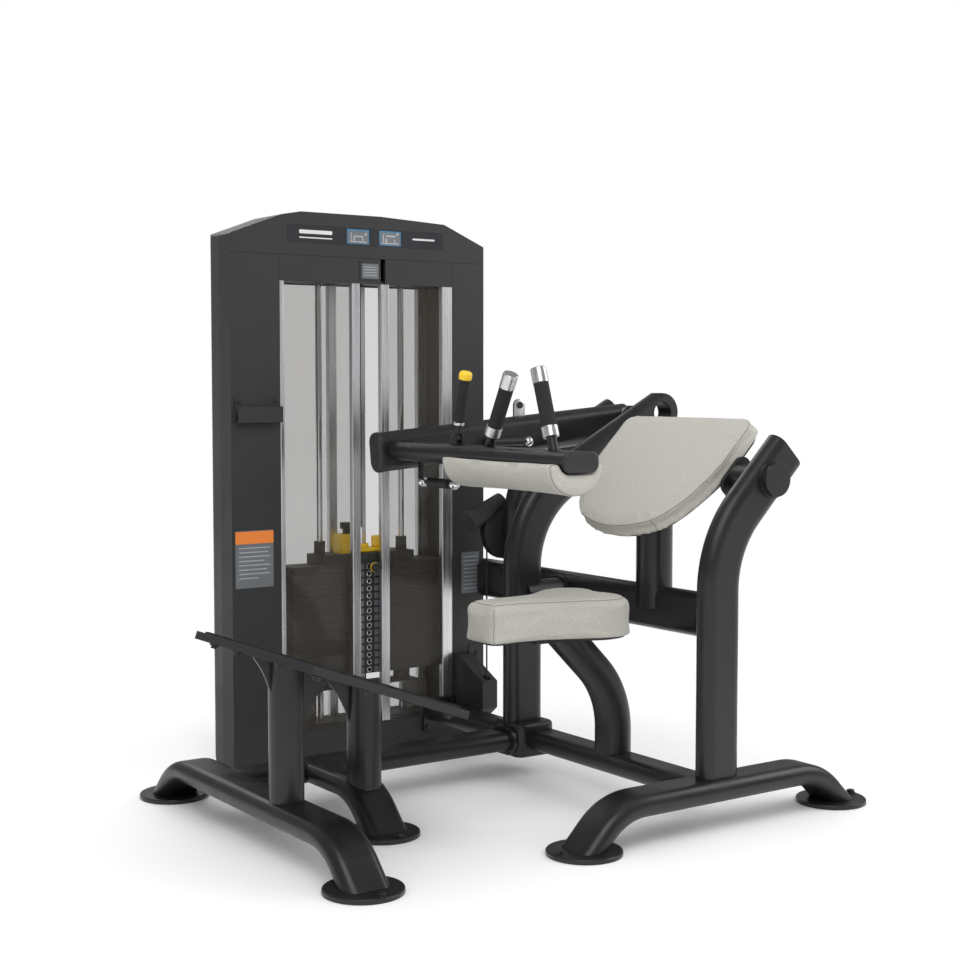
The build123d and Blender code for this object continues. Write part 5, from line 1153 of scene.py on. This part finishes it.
class Fittings:
    """Bolts, labels, controls and marks on the machine."""

    def __init__(self, palette: Palette) -> None:
        """Keep the palette."""
        self.palette = palette

    def build(self) -> None:
        """Make every fitting."""
        self._lever()
        self._arm_fittings()
        self._bolts()
        self._welds()
        self._treads()
        self._labels()
        self._panel()
        self._stack()

    def add(self, name: str, shape: Shape, finish: Slot | PrintFinish,
            body: str = "frame") -> bpy.types.Object:
        """Make a fitting in a slot's finish or in an ink."""
        make = self.palette.piece if isinstance(finish, Slot) else self.palette.printed
        return make(name, shape, finish, body)

    def _lever(self) -> None:
        """Release lever: a barrel on its pin, a black stem, a foam sleeve and a yellow cap."""
        foot = joint_place("release_lever")
        axes = Axes.along(foot, (0, -42, 170), (1, 0, 0))
        bore, round_pin = 0.0062, [(0.0051, -0.007), (0.011, -0.007), (0.011, 0.007), (0.0051, 0.007)]
        barrel = turned(eased([*round_pin, round_pin[0]], 0.001)[:-1], 32, closed=True).placed(
            Axes.along(foot, (1, 0, 0), (0, 1, 0)))
        stem = turned([(0.0001, 0.009), (0.006, 0.009), (0.006, 0.048), (0.0001, 0.048)], 24).placed(axes)
        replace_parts(self.add("lever_stem", barrel + stem, Slot.FRAME, "lever"), "release_lever")
        ridges = [(0.0134 + 0.0005 * cos(k * pi), 0.047 + k * 0.0035) for k in range(32)]
        cap = [(bore, 0.1615), (0.0172, 0.1615), (0.0178, 0.178), (0.0135, 0.184), (0.0001, 0.1855)]
        for name, profile, segments, slot in (
                ("lever_sleeve", [(bore, 0.0465), *ridges, (bore, 0.157)], 32, Slot.FOAM),
                ("lever_collar", eased([(bore, 0.038), (0.0148, 0.038), (0.0148, 0.046), (bore, 0.046)],
                                       0.0012), 32, Slot.SILVER),
                ("lever_cap", eased(cap, 0.003, 6), 40, Slot.YELLOW),
                ("lever_ring", [(bore, 0.1573), (0.0160, 0.1573), (0.0160, 0.1612), (bore, 0.1612)], 32,
                 Slot.PLASTIC)):
            self.add(name, turned(profile, segments).placed(axes), slot, "lever")

    def _arm_fittings(self) -> None:
        """Chrome ball of the plunger, the silver lock plate over its bracket and marks beside the grips."""
        bar_low, bar_high = corners("pad_crossbar")
        _, adjuster_high = corners("arm_adjuster")
        sphere = turned([(BALL * sin(a) + 1e-5, -BALL * cos(a)) for a in np.linspace(0, pi, 17)], 32)
        knob = facing(adjuster_high[0] - 0.015, 0.201, 0.952, (1, 0, 0))
        self.add("plunger_ball", sphere.placed(knob), Slot.STEEL, "arm")
        rod_x, rod_z = -0.062, (bar_low[2] + bar_high[2]) / 2 - 0.087
        balls = sphere.repeated([facing(rod_x, y, rod_z, (0, 1, 0)) for y in (0.020, 0.176)])
        self.add("rod_ball_ends", balls, Slot.STEEL, "arm")
        sleeve = turned(eased([(0.0102, 0), (0.0135, 0), (0.0135, 0.100), (0.0102, 0.100)], 0.002), 32)
        self.add("rod_sleeve", sleeve.placed(facing(rod_x, 0.045, rod_z, (0, 1, 0))), Slot.PLASTIC, "arm")
        _, (lock_x, _, lock_top) = corners("lock_fittings")
        half, foot = 0.0192, lock_top - 0.058
        plate = np.vstack((circle(half, 40)[:21] + (0, lock_top - half), [(-half, foot), (half, foot)]))
        axes = Axes.along((lock_x - 0.019, 0.246 - 0.0006, 0), (0, -1, 0), (1, 0, 0))
        self.add("lock_plate", slab(plate, 0.0, 0.0012, 0.0004, 3).placed(axes), Slot.SILVER, "arm")
        grips_low, grips_high = corners("grip_fittings")
        mark = facing(grips_high[0] + 0.010, grips_low[1] + 0.060, bar_high[2] + 0.0002, (0, 0, 1))
        self.add("grip_mark", card(mark, 0.030, 0.046), PrintFinish.PALE, "arm")

    def _bolts(self) -> None:
        """Anchor bolts on the foot discs, flange bolts at the node and bolts in the tower's tie plate."""
        disc_low, disc_high = corners("foot_discs")
        top, reach, disc = disc_high[2], 0.077, 0.093
        front, rear = disc_low[0] + disc, disc_high[0] - disc
        near, far = disc_low[1] + disc, disc_high[1] - disc
        feet = [(front, -0.588 - reach), (front, far + reach), (-0.4435, -0.228 - reach),
                (-0.1325 - reach, near), (rear + reach, near)]
        spots = [facing(x, y, top, (0, 0, 1)) for x, y in feet]
        self.add("anchor_bolts", hex_bolt(0.0125).repeated(spots), Slot.FRAME)
        node_low, _ = corners("corner_node")
        flange = [facing(node_low[0] - 0.012, 0.114 + y, 0.100 + z, (-1, 0, 0))
                  for y in (-0.034, 0.034) for z in (-0.0345, 0.0345)]
        tie = [facing(0.2415 + x, 0.554, z) for x in (-0.048, 0.048) for z in (0.052, 0.128)]
        self.add("flange_bolts", hex_bolt(0.0058).repeated(flange), Slot.FRAME)
        self.add("tie_bolts", hex_bolt(0.0085).repeated(tie), Slot.FRAME)
        tray_low, tray_high = corners("accessory_holder")
        screws = [facing(x, tray_low[1] + 0.019, tray_high[2] - 0.012)
                  for x in (tray_low[0] + 0.012, tray_high[0] - 0.012)]
        self.add("holder_screws", button_screw(0.0058, 0.0028).repeated(screws), Slot.PLASTIC)

    def _welds(self) -> None:
        """Weld beads round the posts' feet: rings that ripple as the bead was laid."""
        post = corners("back_post")
        middle = (post[0] + post[1]) / 2
        angle = np.linspace(0, tau, 240, endpoint=False)
        post_radius, ripples, half = 0.0508, 60, 0.030
        reach = post_radius + 0.0005 * np.sin(angle * ripples)
        x = np.clip(reach * np.cos(angle), -post_radius, post_radius)
        drop = np.sqrt(np.maximum(half ** 2 - np.clip(np.abs(x), 0, 0.0299) ** 2, 0))
        path = np.stack((0.4065 + x, middle[1] + reach * np.sin(angle), 0.540 + drop), 1)
        keep = np.abs(x) < 0.029
        start = int(np.argmax(~keep))
        order = np.roll(np.arange(240), -start)
        runs = np.split(order, np.flatnonzero(np.diff(keep[order].astype(int))) + 1)
        shapes = [carried(path[run], 0.0022, 8) for run in runs if keep[run[0]] and len(run) > 6]
        self.add("post_welds", total(shapes), Slot.FRAME)

    def _treads(self) -> None:
        """Fine ribs along every tread strip, each a long half-round bead on the footplate's slope."""
        along, up = (np.array((-cos(PLATE_TILT), 0, sin(PLATE_TILT))),
                     np.array((sin(PLATE_TILT), 0, cos(PLATE_TILT))))
        foot, across = PLATE_FOOT, np.array((0.0, 1, 0))
        ribs = []
        for strip in range(6):
            for k in range(7):
                at = 0.010 + TREAD_PITCH * (strip + 0.5) + (k - 3) * RIB_PITCH
                ribs.append(Axes(foot + along * at, across, np.cross(up, across), up))
        rib = slab(rounded_rectangle(0.572, 0.0034, 0.0016, 4), -0.0004, 0.0012, 0.0008, 3)
        self.add("tread_ribs", rib.repeated(ribs), Slot.RUBBER)
        under = [Axes(foot + along * reach + across * y - up * 0.024, along, np.cross(-up, along), -up)
                 for reach in (0.030, 0.150, 0.270, 0.400) for y in (-0.26, -0.09, 0.13, 0.26)]
        stud = turned(eased([(0.0001, 0), (0.0125, 0), (0.0125, 0.004), (0.0075, 0.0045), (0.0075, 0.011),
                             (0.0001, 0.011)], 0.0012), 24)
        self.add("tread_studs", stud.repeated(under), Slot.PLASTIC)

    def _labels(self) -> None:
        """Blank labels on the tower's two columns."""
        front = corners("tower_columns")[0][1]
        ink = front - LABEL_RISE
        left = facing(LEFT_LABEL[0], front, LEFT_LABEL[1])
        self.add("left_label", card(left, 0.122, 0.166, LABEL_RISE), PrintFinish.GREY)
        band = card(facing(LEFT_LABEL[0], ink, LEFT_LABEL[1] + 0.063), 0.122, 0.036)
        self.add("left_label_band", band, PrintFinish.ORANGE)
        lines = [card(facing(LEFT_LABEL[0] - shift, ink, 0.648 - LINE_PITCH * k), wide, 0.0032)
                 for k, (wide, shift) in enumerate(((0.10, 0), (0.094, 0.003), (0.10, 0), (0.080, 0.010),
                                                    (0.10, 0), (0.090, 0.005), (0.10, 0), (0.062, 0.019)))]
        self.add("left_label_lines", total(lines), PrintFinish.PALE)
        right = facing(RIGHT_LABEL[0], front, RIGHT_LABEL[1])
        self.add("right_label", card(right, 0.068, 0.130, LABEL_RISE), PrintFinish.GREY)
        rows = [card(facing(RIGHT_LABEL[0], ink, 0.576 - LINE_PITCH * k), 0.054, 0.0030) for k in range(9)]
        self.add("right_label_lines", total(rows), PrintFinish.PALE)

    def _panel(self) -> None:
        """Figures and blank lines on the instruction panel, thin dark strips as painted shadow in the tower's
        gaps, and the tower's tag.
        """
        low, high = corners("instruction_panel")
        front, middle = low[1], (low[2] + high[2]) / 2
        cards = total([card(facing(x, front, middle), 0.076, 0.044) for x in CARD_XS])
        self.add("panel_cards", cards, PrintFinish.BLUE)
        insets = total([card(facing(x, front - CARD_RISE, middle - 0.001), 0.070, 0.037) for x in CARD_XS])
        self.add("panel_insets", insets, PrintFinish.GREY)
        marks, ink = [], front - 2 * CARD_RISE
        for start, raised in zip(CARD_XS, (0.0, 0.006)):
            for x, z, wide, tall in ((0.0, -0.015, 0.060, 0.0035), (-0.014, -0.007, 0.006, 0.014),
                                     (0.002, 0.001 + raised, 0.034, 0.005), (-0.024, -0.001, 0.0035, 0.026),
                                     (0.016, -0.008, 0.004, 0.012)):
                marks.append(card(facing(start + x, ink, middle + z), wide, tall, radius=0.0024))
            marks.append(slab(circle(0.0042, 20), 0, 0.0004, 0.0001, 2).placed(
                facing(start + 0.026, ink, middle + 0.008 + raised)))
        self.add("panel_figures", total(marks), PrintFinish.PALE)
        rows = [card(facing(-0.185, front, middle + 0.006), 0.110, 0.011),
                card(facing(-0.185, front, middle - 0.011), 0.110, 0.0035),
                card(facing(0.190, front, middle + 0.002), 0.080, 0.0055)]
        self.add("panel_lines", total(rows), PrintFinish.WHITE)
        tower_front = corners("tower_columns")[0][1]
        # Thin dark strips at the crown joint and beside the header: painted shadow where the tower's panels meet,
        # with no gap modelled.
        gaps = [card(facing(-0.0245, tower_front, 1.496), 0.874, 0.0022, 0.0003, 0.0005)]
        gaps += [card(facing(x, tower_front, HEADER_Z), 0.0026, 0.074, 0.0003, 0.0005)
                 for x in (-0.3055, 0.2965)]
        self.add("tower_shadow_gaps", total(gaps), Slot.RUBBER)
        tag = corners("tower_headers")[0][1]
        self.add("tag_card", card(facing(TAG_X, tag, HEADER_Z), 0.058, 0.044), PrintFinish.GREY)
        bars = [card(facing(TAG_X, tag - CARD_RISE, 1.470 - 0.008 * k), 0.044, 0.0024) for k in range(4)]
        self.add("tag_lines", total(bars), PrintFinish.PALE)

    def _stack(self) -> None:
        """Numbers and hole rims on the weight plates, a ring on the pin's knob and a mark on the dial."""
        low, _ = corners("stack_plates")
        front, side_x = low[1], 0.036
        hole = turned([(0.0055, 0), (0.0088, 0), (0.0088, 0.0012), (0.0075, 0.0018), (0.0055, 0.0018)], 24,
                      closed=True)
        for count, body, name in ((range(1, 15), "frame", "fixed"), (range(15, 16), "carriage", "picked")):
            heights = [low[2] + 0.0111 + WEIGHT_PITCH * (k - 1) for k in count]
            digits = [number(16 - k, STACK_X - side_x, front - CARD_RISE, z, 0.011)
                      for k, z in zip(count, heights)]
            plaques = [card(facing(STACK_X + side, front, z), 0.034, 0.0165)
                       for z in heights for side in (-side_x, side_x)]
            self.add(f"{name}_plaques", total(plaques), PrintFinish.GREY, body)
            self.add(f"{name}_numbers", total(digits), PrintFinish.WHITE, body)
            rims = hole.repeated([facing(STACK_X, front, z) for z in heights])
            self.add(f"{name}_hole_rims", rims, Slot.STEEL, body)
        top = corners("top_plate")[1][2] - 0.040
        bridge = slab(rounded_rectangle(0.150, 0.050, 0.008), 0.0005, 0.012, 0.002)
        collar = turned(eased([(0.0155, 0.012), (0.024, 0.012), (0.024, 0.026), (0.0155, 0.026)], 0.003), 40)
        cheek = slab(rounded_rectangle(0.034, 0.046, 0.008), 0.012, 0.046, 0.003)
        for name, shape, x in (("increment_bridge", bridge, 0.032), ("increment_collar", collar, STACK_X),
                               ("increment_cheek", cheek, 0.076)):
            self.add(name, shape.placed(facing(x, STACK_Y, top, (0, 0, 1))), Slot.YELLOW, "carriage")
        pin_low, pin_high = corners("selector_pin")
        section = [(0.0142, -0.002), (0.0156, -0.002), (0.0156, 0.002), (0.0142, 0.002)]
        ring = turned(eased([*section, section[0]], 0.0005)[:-1], 32, closed=True)
        self.add("pin_ring", ring.placed(facing(STACK_X, pin_low[1] + 0.012, (pin_low[2] + pin_high[2]) / 2)),
                 Slot.YELLOW, "pin")
        dial_low, dial_high = corners("increment_dial")
        rim = facing(dial_high[0] - 0.010, (dial_low[1] + dial_high[1]) / 2, dial_high[2], (0, 0, 1))
        mark = card(rim, 0.014, 0.002)
        self.add("dial_mark", mark, PrintFinish.WHITE, "dial")


# ---------------------------------------------------------------- studio


class Studio:
    """Pale floor, soft lights and the camera."""

    CAMERA_AT = (-2.4935, -3.601, 1.125)
    PITCH, HEADING = 3.476, 34.8
    LENS = 60.19

    def build(self) -> None:
        """Set up the whole studio."""
        self._floor()
        self._sky()
        self._light("key_softbox", (-1.8, -2.6, 3.6), (0.0, 0.0, 0.7), 2.6, 62.0)
        self._light("side_softbox", (3.2, -1.4, 2.4), (0.2, -0.2, 0.7), 2.0, 34.0)
        self._light("back_softbox", (0.4, 3.4, 3.2), (0.1, 0.2, 0.8), 2.6, 40.0)
        camera = bpy.data.objects.new("camera", bpy.data.cameras.new("camera"))
        camera.location = self.CAMERA_AT
        camera.rotation_euler = (radians(90 - self.PITCH), 0, radians(-self.HEADING))
        camera.data.lens = self.LENS
        camera.data.sensor_width = 36.0
        bpy.context.scene.collection.objects.link(camera)
        bpy.context.scene.camera = camera
        bpy.context.scene.view_settings.view_transform = "Standard"

    @staticmethod
    def _floor() -> None:
        """A large pale floor a hair under the feet, which fades to white far from the machine."""
        mesh = bpy.data.meshes.new("studio_floor")
        half, level = 30.0, -0.0005
        mesh.from_pydata([(x * half, y * half, level) for x, y in ((-1, -1), (1, -1), (1, 1), (-1, 1))], [],
                         [(0, 1, 2, 3)])
        floor = bpy.data.objects.new("studio_floor", mesh)
        bpy.context.scene.collection.objects.link(floor)
        material = bpy.data.materials.new("studio_white")
        material.use_nodes = True
        material.node_tree.nodes.clear()
        g = Graph(material.node_tree)
        place = g.add("ShaderNodeTexCoord")
        reach = g.add("ShaderNodeVectorMath", {0: place.outputs["Object"]}, operation="LENGTH")
        far = g.ramp(reach.outputs["Value"], 1.2, 3.2)
        near = g.add("ShaderNodeBsdfPrincipled", {"Base Color": (0.94, 0.94, 0.94, 1.0), "Roughness": 0.6,
                                                  "Specular IOR Level": 0.2})
        white = g.add("ShaderNodeEmission", {"Color": (1.0, 1.0, 1.0, 1.0), "Strength": 1.0})
        both = g.add("ShaderNodeMixShader", {0: far, 1: near.outputs[0], 2: white.outputs[0]})
        g.add("ShaderNodeOutputMaterial", {0: both.outputs[0]})
        mesh.materials.append(material)

    @staticmethod
    def _sky() -> None:
        """White behind everything, and a softer grey as light."""
        world = bpy.data.worlds.new("studio_sky")
        bpy.context.scene.world = world
        world.use_nodes = True
        world.node_tree.nodes.clear()
        g = Graph(world.node_tree)
        seen = g.add("ShaderNodeLightPath")
        lit = g.mix(seen.outputs["Is Glossy Ray"], (0.93, 0.93, 0.94, 1.0), (0.30, 0.30, 0.31, 1.0))
        colour = g.mix(seen.outputs["Is Camera Ray"], lit, (1.0, 1.0, 1.0, 1.0))
        sky = g.add("ShaderNodeBackground", {"Color": colour, "Strength": 1.0})
        g.add("ShaderNodeOutputWorld", {0: sky.outputs[0]})

    @staticmethod
    def _light(name: str, place: Sequence[float], aim: Sequence[float], size: float, power: float) -> None:
        """A square softbox that points at a place."""
        light = bpy.data.lights.new(name, "AREA")
        light.size = size
        light.energy = power
        lamp = bpy.data.objects.new(name, light)
        lamp.location = place
        lamp.rotation_euler = (Vector(aim) - Vector(place)).to_track_quat("-Z", "Y").to_euler()
        bpy.context.scene.collection.objects.link(lamp)


def main() -> None:
    """Build the looks in order."""
    logging.basicConfig(level=logging.INFO, format="%(name)s: %(message)s")
    palette = Palette.build()
    palette.dress()
    for cushion in (BackPad.make(), SeatPad.make(), HipPad.make()):
        pad = cushion.build(palette)
        cushion.trim(palette, pad)
    Fittings(palette).build()
    Studio().build()
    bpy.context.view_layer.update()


if __name__ == "__main__":
    main()
